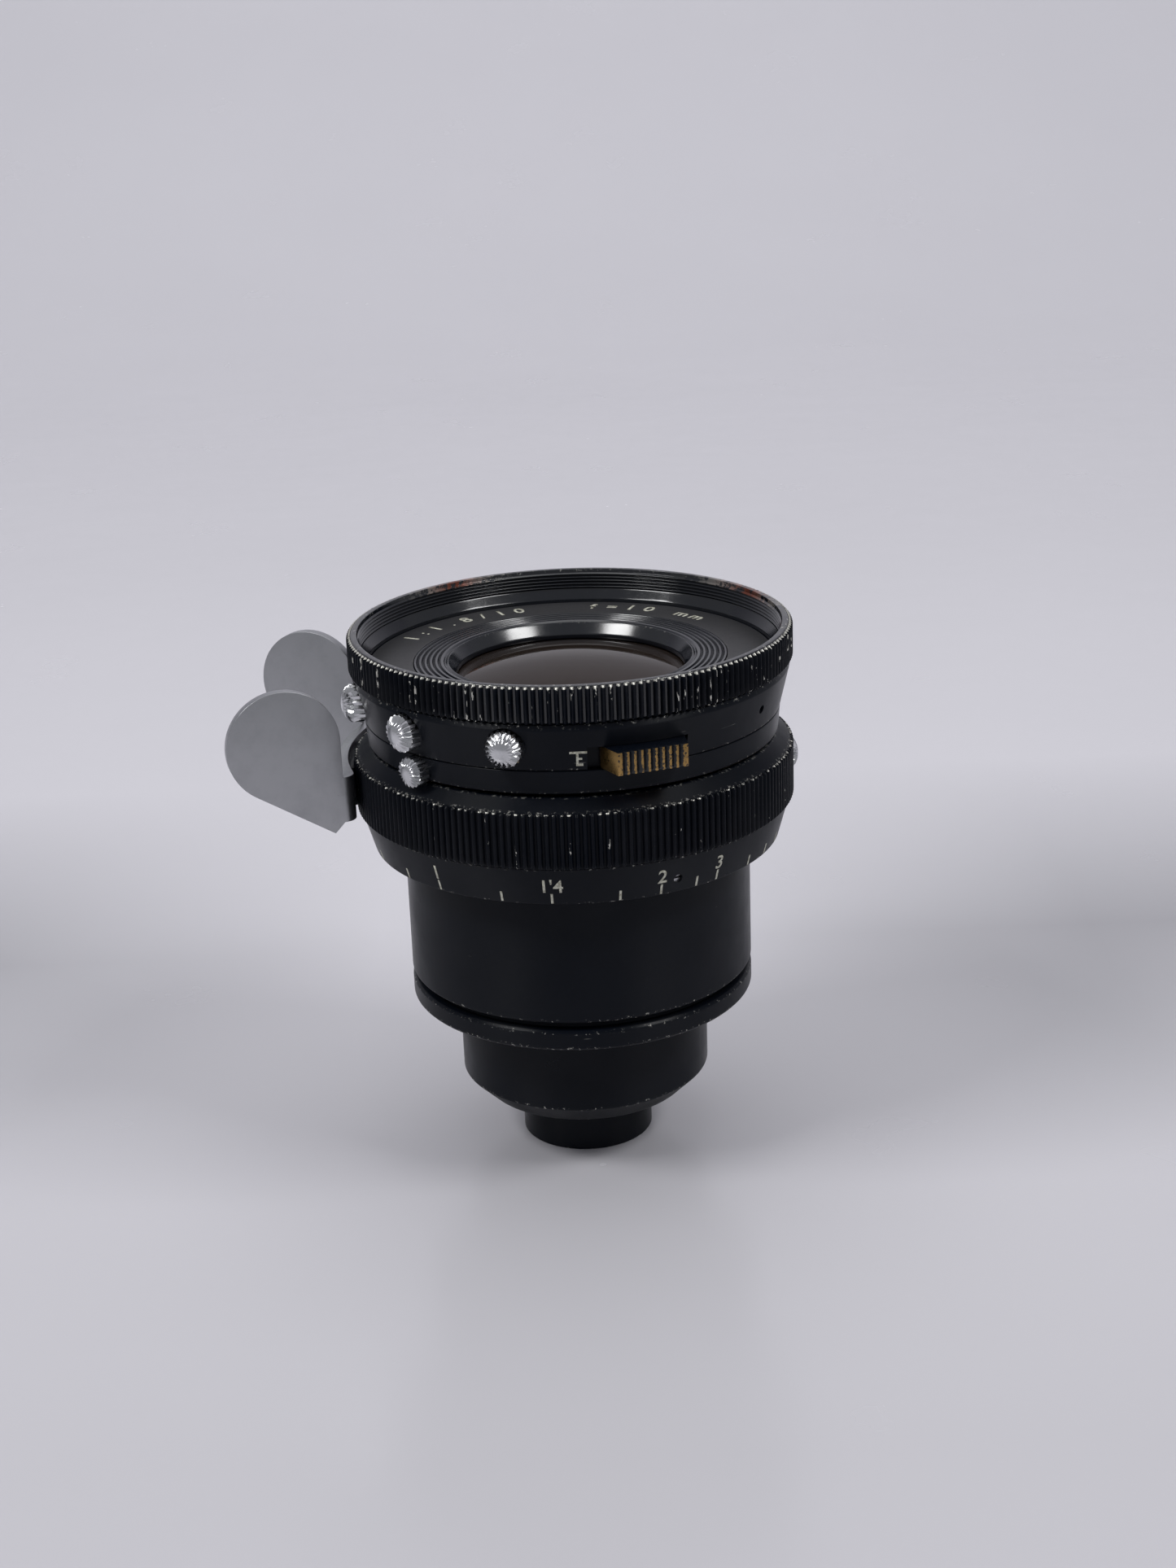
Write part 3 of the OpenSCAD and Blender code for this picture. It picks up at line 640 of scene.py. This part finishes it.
def focusPieces():
    look = focusLook
    bore, spigot, brow, inside = (look[k] for k in ("bore", "spigot", "brow", "inside"))
    radius, low, high = ringSize("focus_ring")
    scaleTop, nut = ringSize("distance_scale_ring")[2], ringSize("helicoid_nut")[0]
    knurlTop, root = high - look["slope"], radius - look["height"]
    nutLow, journalTop = high - look["nutDepth"], high - look["journalDepth"]
    body = turnedPiece("focusRing", [
        (bore, low), (spigot, low), (spigot, scaleTop), (root - 0.1, scaleTop), (root, scaleTop + 0.2),
        (root, knurlTop), (root - 0.1, knurlTop + 0.06), (brow, high), (nut, high), (nut, nutLow),
        (inside, nutLow), (inside, journalTop), (bore, journalTop)])
    cutWith(body, [rodMesh(look["studAzimuth"], look["studHeight"], radius - look["studDepth"], radius + 1,
                           look["pocket"], 40)])
    paintWear(body, [(brow, high, 0.25), (root - 0.1, knurlTop + 0.06, 0.4)], 0.2)
    wear(body, "focus_ring", "knurl", "focus_ring")
    knurl = knurlPiece("focusKnurl", {**look, "root": root - 0.03, "bottom": scaleTop + 0.1, "top": knurlTop},
                       finishes["toothBlack"])
    wear(knurl, "focus_ring", None)


focusPieces()
print("focus ring made")


marksLook = {
    "infinity": 71.3, "spread": 89, "nearest": 0.2,
    "feet": [10 / 12, 11 / 12, 1, 14 / 12, 16 / 12, 20 / 12, 2, 2.5, 3, 5, 10],
    "numerals": {"9": 0.75, "1": 1, "1'4": 16 / 12, "2": 2, "3": 3},
    "tickWidth": 0.27, "tickLength": 1.3, "numeralHeight": 1.7, "proud": 0.015,
    "lowRadius": 24.0, "screws": [26.5, 146.5, 266.5], "screwHole": 0.55,
}


def markAzimuth(feet):
    # where a distance stands on the scale
    return marksLook["infinity"] - marksLook["spread"] / (feet - marksLook["nearest"])


def plateMesh(wide, tall, thick, tilt):
    # a small flat bar with its thickness along X, leaning back by tilt
    shape = bmesh.new()
    bmesh.ops.create_cube(shape, size=1)
    place = Matrix.Rotation(tilt, 4, "Y") @ Matrix.Diagonal((thick * mm, wide * mm, tall * mm, 1))
    bmesh.ops.transform(shape, matrix=place, verts=shape.verts)
    bmesh.ops.bevel(shape, geom=shape.edges[:], offset=thick * 0.3 * mm, segments=1, affect="EDGES")
    return asMesh("plate", shape)


def letters(text, height, thick, place):
    # text as a mesh of that height, each vertex sent through place(across, up, out) in millimetres
    curve = bpy.data.curves.new("letters", "FONT")
    curve.body = text
    curve.align_x = "CENTER"
    curve.resolution_u = 3
    curve.offset = 0.012
    source = addObject("letters", curve)
    shape = bmesh.new()
    shape.from_mesh(evaluatedMesh(source))
    bpy.data.objects.remove(source)
    bmesh.ops.remove_doubles(shape, verts=shape.verts, dist=1e-5)
    walls = bmesh.ops.extrude_face_region(shape, geom=shape.faces[:])
    raised = {item for item in walls["geom"] if isinstance(item, bmesh.types.BMVert)}
    size = height / (max(v.co.y for v in shape.verts) - min(v.co.y for v in shape.verts))
    for vertex in shape.verts:
        vertex.co = place(vertex.co.x * size, vertex.co.y * size, thick if vertex in raised else -thick)
    bmesh.ops.recalc_face_normals(shape, faces=shape.faces)
    across = Vector((1.0, 3.7, 13.1))  # no two faces lie level along this
    shape.faces.sort(key=lambda face: face.calc_center_median().dot(across))  # the same order each run
    return asMesh("letters", shape)


def scalePieces():
    radius, low, high = ringSize("distance_scale_ring")
    lowRadius = marksLook["lowRadius"]
    slope = (radius - lowRadius) / (high - low)

    def coneRadius(height):
        return lowRadius + (height - low) * slope

    ring = turnedPiece("distanceScaleRing", [
        (22.6, low), (lowRadius, low), (radius, high), (22.9, high), (22.9, low + 0.7),
        (22.6, low + 0.7)], 0.1)
    cutWith(ring, [rodMesh(azimuth, low + 1.7, 22, 26, marksLook["screwHole"])
                   for azimuth in marksLook["screws"]])
    paintWear(ring, [(lowRadius, low, 0.9), (radius, high, 0.7)], 0.18)
    wear(ring, "focus_ring", "barrel", "distance_scale_ring")
    tick = plateMesh(marksLook["tickWidth"], marksLook["tickLength"], 0.05, math.atan(slope))
    middle = low + 0.1 + marksLook["tickLength"] / 2
    azimuths = [markAzimuth(feet) for feet in marksLook["feet"]] + [marksLook["infinity"]]
    points = [along(azimuth, coneRadius(middle) + marksLook["proud"] - 0.02, middle) for azimuth in azimuths]
    ticks = copiesPiece("distanceTicks", tick, points, finishes["cream"])
    wear(ticks, "focus_ring", None, slot=None)
    words = []
    for text, feet in marksLook["numerals"].items():
        def wrap(across, up, out, azimuth=markAzimuth(feet)):
            height = low + 1.6 + up
            reach = coneRadius(height)
            return along(azimuth + math.degrees(across / reach), reach + marksLook["proud"] + out, height)
        words.append(letters(text, marksLook["numeralHeight"], 0.02, wrap))
    numerals = addObject("distanceNumerals", joined("distanceNumerals", words))
    wear(numerals, "focus_ring", "cream", slot=None)


scalePieces()
print("distance scale made")


def softened(name, node, width, angle=35, segments=2):
    # a copy of a CAD node with its flat faces joined up and its edges rounded
    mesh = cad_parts[node].data.copy()
    mesh.materials.clear()
    needed = ("position", ".edge_verts", ".corner_vert", ".corner_edge", "sharp_face")
    for layer in [a.name for a in mesh.attributes if a.name not in needed]:
        if layer in mesh.attributes and not mesh.attributes[layer].is_required:
            mesh.attributes.remove(mesh.attributes[layer])
    shape = bmesh.new()
    shape.from_mesh(mesh)
    bmesh.ops.remove_doubles(shape, verts=shape.verts, dist=2e-6)
    bmesh.ops.dissolve_limit(shape, angle_limit=math.radians(0.6), verts=shape.verts, edges=shape.edges)
    bmesh.ops.recalc_face_normals(shape, faces=shape.faces)
    piece = addObject(name, asMesh(name, shape))
    bevel = piece.modifiers.new("edges", "BEVEL")
    bevel.width = width * mm
    bevel.segments = segments
    bevel.limit_method = "ANGLE"
    bevel.angle_limit = math.radians(angle)
    settled(piece)
    smoothed(piece.data, 28)
    return piece


def earPieces():
    ears = softened("focusEars", "focus_ears", 0.16, segments=3)
    wear(ears, "focus_ring", "aluminium", "focus_ears", slot="bare_aluminium")
    saddle = softened("earSaddle", "ear_saddle", 0.08)
    wear(saddle, "focus_ring", "enamel", "ear_saddle")
    screws = softened("earScrews", "ear_screws", 0.1)
    wear(screws, "focus_ring", "steel", "ear_screws", slot="steel")


earPieces()
print("ears made")


studLook = {"side": 1.2, "dome": 2.9, "flutes": 20, "flute": 0.30, "seat": -0.3, "big": 2.2, "small": 1.8,
            "azimuths": (-77, -47, -17), "height": 57.3, "spotFace": 24.9,
            "indexAzimuth": -45.5, "indexHeight": 52.75}


def studMesh(look, size):
    # a domed head drawn along +X: fluted side, flutes fading out towards the middle of the dome
    segments = look["flutes"] * 6
    centre = look["side"] - math.sqrt(look["dome"] ** 2 - size ** 2)
    rows = [(size, look["seat"], 0.6), (size, 0.15, 0.9), (size, look["side"] - 0.2, 1)]
    for k in range(9):
        radius = (size - 0.05) * (1 - k / 9)
        fade = max(0.0, min(1.0, (radius / size - 0.45) / 0.4))
        out = centre + math.sqrt(look["dome"] ** 2 - radius ** 2) - (0.06 if k == 0 else 0)
        rows.append((radius, out, fade))
    vertices, faces = [], []
    for radius, out, fade in rows:
        for k in range(segments):
            angle = 2 * math.pi * k / segments
            groove = abs(math.sin(look["flutes"] * angle / 2)) ** 1.6 * look["flute"] * fade
            r = radius - groove * 0.8
            x = out - (groove * 0.7 if out > look["side"] - 0.1 else 0)
            vertices.append((x * mm, r * math.cos(angle) * mm, r * math.sin(angle) * mm))
    for first in range(0, (len(rows) - 1) * segments, segments):
        for k in range(segments):
            j = (k + 1) % segments
            faces.append([first + k, first + j, first + segments + j, first + segments + k])
    vertices.append((rows[0][1] * mm, 0, 0))
    vertices.append(((centre + look["dome"]) * mm, 0, 0))
    last = (len(rows) - 1) * segments
    for k in range(segments):
        j = (k + 1) % segments
        faces.append([j, k, len(vertices) - 2])
        faces.append([last + k, last + j, len(vertices) - 1])
    return finishMesh(meshOf("stud", vertices, faces), 50)


def studs(name, body, node, size, places):
    # places are [azimuth, height, seat radius]
    points = [along(azimuth, seat, height) for azimuth, height, seat in places]
    piece = copiesPiece(name, studMesh(studLook, studLook[size]), points, finishes["chrome"])
    wear(piece, body, None, node, slot="chromed_brass")


def studPieces():
    look = studLook
    pocketFloor = ringSize("focus_ring")[0] - focusLook["studDepth"]
    studs("focusStud", "focus_ring", "focus_stud", "small",
          [(focusLook["studAzimuth"], focusLook["studHeight"], pocketFloor)])
    studs("indexStud", "optical_unit", "index_stud", "small",
          [(look["indexAzimuth"], look["indexHeight"], ringSize("index_ring")[0] + 0.15)])
    studs("apertureStuds", "aperture_ring", "aperture_studs", "big",
          [(azimuth, look["height"], look["spotFace"]) for azimuth in look["azimuths"]])


studPieces()
print("studs made")


def sectorMesh(fromAzimuth, toAzimuth, inner, outer, low, high, steps=24):
    # a block of a ring, as a cutter
    vertices, faces = [], []
    for k in range(steps + 1):
        azimuth = fromAzimuth + (toAzimuth - fromAzimuth) * k / steps
        vertices += [along(azimuth, inner, low), along(azimuth, outer, low), along(azimuth, outer, high),
                     along(azimuth, inner, high)]
    for k in range(steps):
        for side in range(4):
            a, b = k * 4 + side, k * 4 + (side + 1) % 4
            faces.append([a, b, b + 4, a + 4])
    faces.append([3, 2, 1, 0])
    faces.append([steps * 4 + side for side in range(4)])
    return finishMesh(meshOf("sector", vertices, faces))


def aperturePieces():
    look = {"slide": 18, "halfAngle": 11.2, "travel": 3, "play": 0.6, "slotFloor": 23.3, "driveScrew": 58,
            "driveHeight": 57, "driveHole": 0.5, "bore": 22.05, "counterbore": 23.95, "indexBore": 22,
            "indexLow": 24, "chamfer": 0.65, "markAzimuth": 1.2, "markHeight": 55.05,
            "markBars": [(-0.1, 1.5, 1.9, 0.26), (-0.2, 0, 0.26, 1.52), (0.16, 0.0, 0.5, 0.26),
                         (0.11, 0.74, 0.4, 0.24)]}  # middle, foot, width and height of each bar
    indexRadius, indexLow, indexHigh = ringSize("index_ring")
    index = turnedPiece("indexRing", [
        (look["indexBore"], indexLow), (look["indexLow"], indexLow), (indexRadius, indexHigh),
        (look["indexBore"], indexHigh)], 0.1)
    paintWear(index, [(look["indexLow"], indexLow, 0.8)], 0.15)
    wear(index, "optical_unit", "barrel", "index_ring")
    radius, low, high = ringSize("aperture_ring")
    bore, counterbore, corner = look["bore"], look["counterbore"], high - look["chamfer"]
    ring = turnedPiece("apertureRing", [
        (bore, low), (indexRadius, low), (radius, corner), (radius - 0.25, high), (counterbore, high),
        (counterbore, high - 1.8), (bore, high - 1.8)], 0.1)
    slideTop = ringSize("click_slide")[2]
    cutters = [sectorMesh(look["slide"] - look["halfAngle"] - look["travel"] - look["play"],
                          look["slide"] + look["halfAngle"] + look["play"], look["slotFloor"], 28, low - 1,
                          slideTop + 0.05),
               rodMesh(look["driveScrew"], look["driveHeight"], 21, 27, look["driveHole"])]
    cutters += [rodMesh(azimuth, studLook["height"], studLook["spotFace"], 27, studLook["big"] + 0.05, 40)
                for azimuth in studLook["azimuths"]]
    paintWear(cutWith(ring, cutters), [(indexRadius, low, 0.8), (radius - 0.25, high, 0.8)], 0.15)
    wear(ring, "aperture_ring", "barrel", "aperture_ring")

    def wrap(across, up, out):
        height = look["markHeight"] + up
        reach = indexRadius + (height - low) / (corner - low) * (radius - indexRadius)
        return along(look["markAzimuth"] + math.degrees(across / reach), reach + 0.015 + out, height)

    marks = [barMesh(x, y, wide, tall, 0.02, wrap) for x, y, wide, tall in look["markBars"]]
    mark = addObject("slideMark", joined("slideMark", marks))
    wear(mark, "aperture_ring", "cream", slot=None)
    slidePiece(look)


def barMesh(x, y, wide, tall, thick, place):
    # a painted bar lying on a surface
    corners = [(x - wide / 2, y), (x + wide / 2, y), (x + wide / 2, y + tall), (x - wide / 2, y + tall)]
    vertices = [place(a, b, out) for out in (-thick, thick) for a, b in corners]
    faces = [[3, 2, 1, 0], [4, 5, 6, 7]] + [[k, (k + 1) % 4, (k + 1) % 4 + 4, k + 4] for k in range(4)]
    return finishMesh(meshOf("bar", vertices, faces))


def slidePiece(look):
    # brass block; paint stays on its top and between the ribs, and the part-painted rib crests also darken the
    # front face as painted shade
    piece = softened("clickSlide", "click_slide", 0.05, angle=30)
    outward = Vector((math.sin(math.radians(look["slide"])), -math.cos(math.radians(look["slide"])), 0))
    front = max(v.co.dot(outward) for v in piece.data.vertices)
    layer = piece.data.attributes.new("painted", "FLOAT", "CORNER")
    for face in piece.data.polygons:
        for corner in face.loop_indices:
            place = piece.data.vertices[piece.data.loops[corner].vertex_index].co
            depth = (front - place.dot(outward)) / mm
            if face.normal.z > 0.7:
                layer.data[corner].value = 1.0
            elif face.normal.dot(outward) > 0.25 and depth < 0.6:
                # the grooves hold the block's own paint; the 0.36 on the crests is partly paint and partly
                # painted shade that darkens the front face
                layer.data[corner].value = 1.5 if depth > 0.1 else 0.36
            else:
                layer.data[corner].value = 0.1
    wear(piece, "click_slide", "slide", "click_slide", slot="brass")


aperturePieces()
print("aperture ring made")


frontLook = {
    "teeth": 192, "height": 0.50, "width": 0.60, "crestShare": 0.40, "endSlope": 0.3, "seed": 9,
    "bore": 22, "neck": 23.7, "wall": 24.5, "threads": 5, "threadDepth": 0.22, "threadTop": 0.45,
    "threadLow": 61.8, "stepRadius": 23.6, "stepHeight": 60.7,
    "rustPatches": [(-145, 10), (118, 14)],  # azimuth and half width
}


def frontPieces():
    look = frontLook
    radius, low, high = ringSize("front_ring")
    knurlLow, root = ringSize("aperture_ring")[2] + 0.15, radius - look["height"]
    bore, neck, wall, threadLow = (look[k] for k in ("bore", "neck", "wall", "threadLow"))
    pitch = (high - look["threadTop"] - threadLow) / look["threads"]
    thread = []
    for k in range(look["threads"]):
        top = high - look["threadTop"] - pitch * k
        thread += [(wall, top, 0.03), (wall - look["threadDepth"], top - pitch * 0.45, 0.05)]
    outline = [(bore, low), (neck, low), (neck, knurlLow), (root - 0.15, knurlLow), (root, knurlLow + 0.15),
               (root, high - 0.12, 0.08), (root - 0.12, high, 0.08), (wall + 0.08, high, 0.05)]
    outline += thread + [(wall, threadLow, 0.03), (wall - 0.05, threadLow - 0.1, 0.08),
                         (look["stepRadius"], look["stepHeight"], 0.08), (23.5, low + 1.1), (bore, low + 1.1)]
    ring = turnedPiece("frontRing", outline, 0.1, 320)
    paintWear(ring, [(root - 0.12, high, 0.9), (wall + 0.08, high, 0.7)], 0.2)
    rust = ring.data.attributes.new("rust", "FLOAT", "POINT")
    for vertex, value in zip(ring.data.vertices, rust.data):
        azimuth = math.degrees(math.atan2(vertex.co.x, -vertex.co.y))
        if vertex.co.z > (high - 0.7) * mm:
            value.value = max(math.exp(-((azimuth - at) / width) ** 2) for at, width in look["rustPatches"])
    wear(ring, "optical_unit", "rim", "front_ring")
    knurl = knurlPiece("frontKnurl", {**look, "root": root - 0.03, "bottom": knurlLow, "top": high - 0.08},
                       finishes["frontTooth"])
    wear(knurl, "optical_unit", None)
    nameRadius, nameLow, nameHigh = ringSize("name_ring")
    inner = ringSize("front_retaining_ring")[0] + 0.05
    name = turnedPiece("nameRing", [
        (inner, nameLow), (nameRadius, nameLow), (nameRadius, nameHigh), (inner, nameHigh)], 0.1)
    paintWear(name, [(inner, nameHigh, 0.25)], 0.15)
    wear(name, "optical_unit", "satin", "name_ring", slot="satin_black")
    nameMarks(nameHigh)


nameLook = {"height": 2.0, "base": 20.3, "step": 6.6,
            "shares": {":": 0.55, ".": 0.14, "=": 0.4, "m": 0.62},  # height of the small characters
            "words": {"1:1.8/10": -140, "f=10 mm": 152, "1:1.8": 55, "10": -35}}


def nameMarks(top):
    # generic engraving: each character stands on its own ray, its head outwards
    glyphs = []
    for text, middle in nameLook["words"].items():
        for k, character in enumerate(text):
            if character == " ":
                continue
            azimuth = middle - (k - (len(text) - 1) / 2) * nameLook["step"]
            tall = nameLook["height"] * nameLook["shares"].get(character, 1.0)

            def lay(across, up, out, azimuth=azimuth):
                reach = nameLook["base"] + up
                return along(azimuth - math.degrees(across / reach), reach, top + 0.012 + out)
            glyphs.append(letters(character, tall, 0.018, lay))
    piece = addObject("nameMarks", joined("nameMarks", glyphs))
    wear(piece, "optical_unit", "cream", slot=None)


def retainingRing():
    look = {"grooves": 5, "first": 17.75, "pitch": 0.62, "depth": 0.32, "half": 0.17, "bore": 13.2, "lip": 14.2,
            "bevelLow": 59.05}
    radius, low, high = ringSize("front_retaining_ring")
    lip, half = look["lip"], look["half"]
    top = [(radius, high)]
    for k in range(look["grooves"]):
        middle = look["first"] - k * look["pitch"]
        top += [(middle + half, high, 0.05), (middle, high - look["depth"], 0.05), (middle - half, high, 0.05)]
    outline = [(look["bore"], low), (radius, low)] + top + [
        (14.75, high - 0.02, 0.08), (14.55, high - 0.22, 0.06), (lip, high - 0.02, 0.1),
        (13.25, look["bevelLow"], 0.1)]
    ring = turnedPiece("frontRetainingRing", outline, 0.08)
    paintWear(ring, [(lip, high - 0.02, 0.35)], 0.15)
    wear(ring, "optical_unit", "gloss", "front_retaining_ring")


def frontGlass():
    look = {"frontRadius": 45, "rearRadius": 24, "rearVertex": 58.87, "rearEdge": 10.6, "seat": 11.2,
            "steps": 28}
    radius, low, high = ringSize("front_element")
    steps = look["steps"]

    def dome(edge, curve, vertex, k):
        r = edge * k / steps
        return r, vertex - curve + math.sqrt(curve ** 2 - r * r)

    outline = [dome(radius, look["frontRadius"], high, k) for k in range(steps)]
    side, shoulder = dome(radius, look["frontRadius"], high, steps)
    outline += [(side - 0.12, shoulder + 0.02), (side, shoulder - 0.12), (side, low), (look["seat"], low)]
    outline += [dome(look["rearEdge"], look["rearRadius"], look["rearVertex"], k) for k in range(steps, -1, -1)]
    glass = addObject("frontElement", turned("frontElement", outline, 192))
    wear(glass, "optical_unit", "frontGlass", "front_element", slot="coated_glass")


frontPieces()
retainingRing()
frontGlass()
print("front made")


# the CAD pieces that stay get their finish here
kept = {
    "brass": ["helicoid_nut"],
    "steel": ["helicoid_screws", "scale_set_screws", "guide_key_screw", "focus_stop_pin",
              "aperture_drive_screw", "click_ball", "click_spring"],
    "glass": ["second_element", "third_element", "doublet_crown", "doublet_flint", "sixth_element",
              "rear_element"],
    "blade": ["iris_blade_%d" % k for k in range(1, 7)],
    "matt": ["front_cell", "rear_cell", "iris_housing", "iris_cover", "iris_drive_sleeve", "iris_cam_ring",
             "group_spacer", "rear_spacer", "second_retaining_ring", "third_retaining_ring"],
    "enamel": ["optical_barrel", "focus_retainer", "rear_retaining_ring"],
}
for finish, nodes in kept.items():
    for node in nodes:
        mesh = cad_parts[node].data
        mesh.materials.clear()
        mesh.materials.append(finishes[finish])
print("finishes given to the kept pieces")


sheetLook = {
    "tones": [(0.62, 0.61, 0.65, 1), (0.65, 0.64, 0.68, 1)],
    # painted shade: the colour of the side bands and how much of it is mixed in
    "shade": (0.16, 0.16, 0.175, 1), "paintedShadeShare": 0.6,
    "near": (-0.07, 0.09, 0.82, 1.0), "far": (0.3, 0.9, 1.0, 1.22),  # from and to along Y, and the painted light falloff there: darker at the front edge, brighter up the sweep
}


def floorMaterial():
    # pale sheet with a soft gloss; shade is painted into its colour in a band at each side, and light falloff
    # is painted in as a brightness that is lower at the front edge and higher up the sweep
    look = sheetLook
    material, tree = newMaterial("paleSheet")
    pale = blendColour(tree, speckle(tree, 90, 4, 0.5), *look["tones"])
    place = objectParts(tree)
    # painted shade: the colour darkens in a band at each side, where the sweep's light falls off
    aside = spread(tree, sums(tree, "ABSOLUTE", sums(tree, "ADD", place[0], 0.01), 0.0), 0.02, 0.085)
    depth = sums(tree, "ABSOLUTE", sums(tree, "SUBTRACT", place[1], 0.055), 0.0)
    paintedShadeBand = times(tree, aside, spread(tree, depth, 0.075, 0.0))
    colour = blendColour(tree, times(tree, paintedShadeBand, look["paintedShadeShare"]), pale, look["shade"])
    # painted light falloff: the colour is multiplied darker at the front edge and brighter up the sweep
    tone = times(tree, spread(tree, place[1], *look["near"]), spread(tree, place[1], *look["far"]))
    painted(tree, {"Base Color": blendColour(tree, 1.0, colour, tone, "MULTIPLY"),
                   "Roughness": spread(tree, speckle(tree, 25, 4), 0.3, 0.7, 0.20, 0.28),
                   "Normal": bumped(tree, speckle(tree, 1.5, 3), 0.05, 0.0001), "Specular IOR Level": 0.5})
    return material


studio = {
    "floorHalf": 1.6, "sweepStart": 0.5, "sweepRadius": 0.45, "wallTop": 1.5,
    "world": (0.62, 0.63, 0.67, 1), "worldStrength": 0.50, "aim": 0.045,
    "lights": {  # azimuth, elevation, distance, width and height in metres, watts
        "softLeft": (-62, 49, 0.85, 0.32, 0.17, 2.8), "softRight": (62, 49, 0.85, 0.32, 0.17, 2.5),
        "ceiling": (180, 79, 1.3, 1.0, 1.0, 4.9),
    },
}


def floorPiece():
    half, start, radius = (studio[k] for k in ("floorHalf", "sweepStart", "sweepRadius"))
    rows = [(-half + 0.3 * k, 0.0) for k in range(7)]
    for k in range(13):
        angle = math.pi / 2 * k / 12
        rows.append((start + radius * math.sin(angle), radius * (1 - math.cos(angle))))
    rows.append((start + radius, studio["wallTop"]))
    vertices = [(x, y, z) for y, z in rows for x in (-half, 0, half)]
    corners = [i * 3 + k for i in range(len(rows) - 1) for k in (0, 1)]
    mesh = meshOf("floor", vertices, [[a, a + 1, a + 4, a + 3] for a in corners])
    mesh.shade_smooth()
    floor = addObject("floor", mesh)
    floor.data.materials.append(floorMaterial())


def studioLights():
    world = bpy.data.worlds.new("studio")
    world.use_nodes = True
    sky = world.node_tree.nodes["Background"].inputs
    sky["Color"].default_value, sky["Strength"].default_value = studio["world"], studio["worldStrength"]
    bpy.context.scene.world = world
    aim = Vector((0, 0, studio["aim"]))
    for name, (azimuth, elevation, distance, width, height, power) in studio["lights"].items():
        lamp = bpy.data.lights.new(name, "AREA")
        lamp.shape = "RECTANGLE"
        lamp.size, lamp.size_y, lamp.energy = width, height, power
        light = addObject(name, lamp)
        flat = math.cos(math.radians(elevation)) * distance
        light.location = aim + Vector((math.sin(math.radians(azimuth)) * flat,
                                       -math.cos(math.radians(azimuth)) * flat,
                                       math.sin(math.radians(elevation)) * distance))
        light.rotation_mode = "QUATERNION"
        light.rotation_quaternion = (aim - light.location).to_track_quat("-Z", "Y")


def cameraPiece():
    look = {"distance": 0.2974, "elevation": 27.58, "pitch": -19.505, "pan": 0.324, "roll": -2.1255,
            "lens": 54.18}
    rise, pitch, pan, roll = (math.radians(look[k]) for k in ("elevation", "pitch", "pan", "roll"))
    ahead = Vector((math.sin(pan) * math.cos(pitch), math.cos(pan) * math.cos(pitch), math.sin(pitch)))
    right = ahead.cross(Vector((0, 0, 1))).normalized()
    above = right.cross(ahead)
    turnedRight = right * math.cos(roll) + above * math.sin(roll)
    turnedUp = above * math.cos(roll) - right * math.sin(roll)
    lens = bpy.data.cameras.new("camera")
    lens.lens = look["lens"]
    lens.sensor_width = 36
    camera = addObject("camera", lens)
    turn = Matrix((turnedRight, turnedUp, -ahead)).transposed().to_4x4()
    place = Vector((0, -math.cos(rise), math.sin(rise))) * look["distance"]
    camera.matrix_world = Matrix.Translation(place) @ turn
    lens.clip_start, lens.clip_end = 0.01, 20
    bpy.context.scene.camera = camera


floorPiece()
studioLights()
cameraPiece()
bpy.context.scene.view_settings.view_transform = "Standard"
print("studio made")
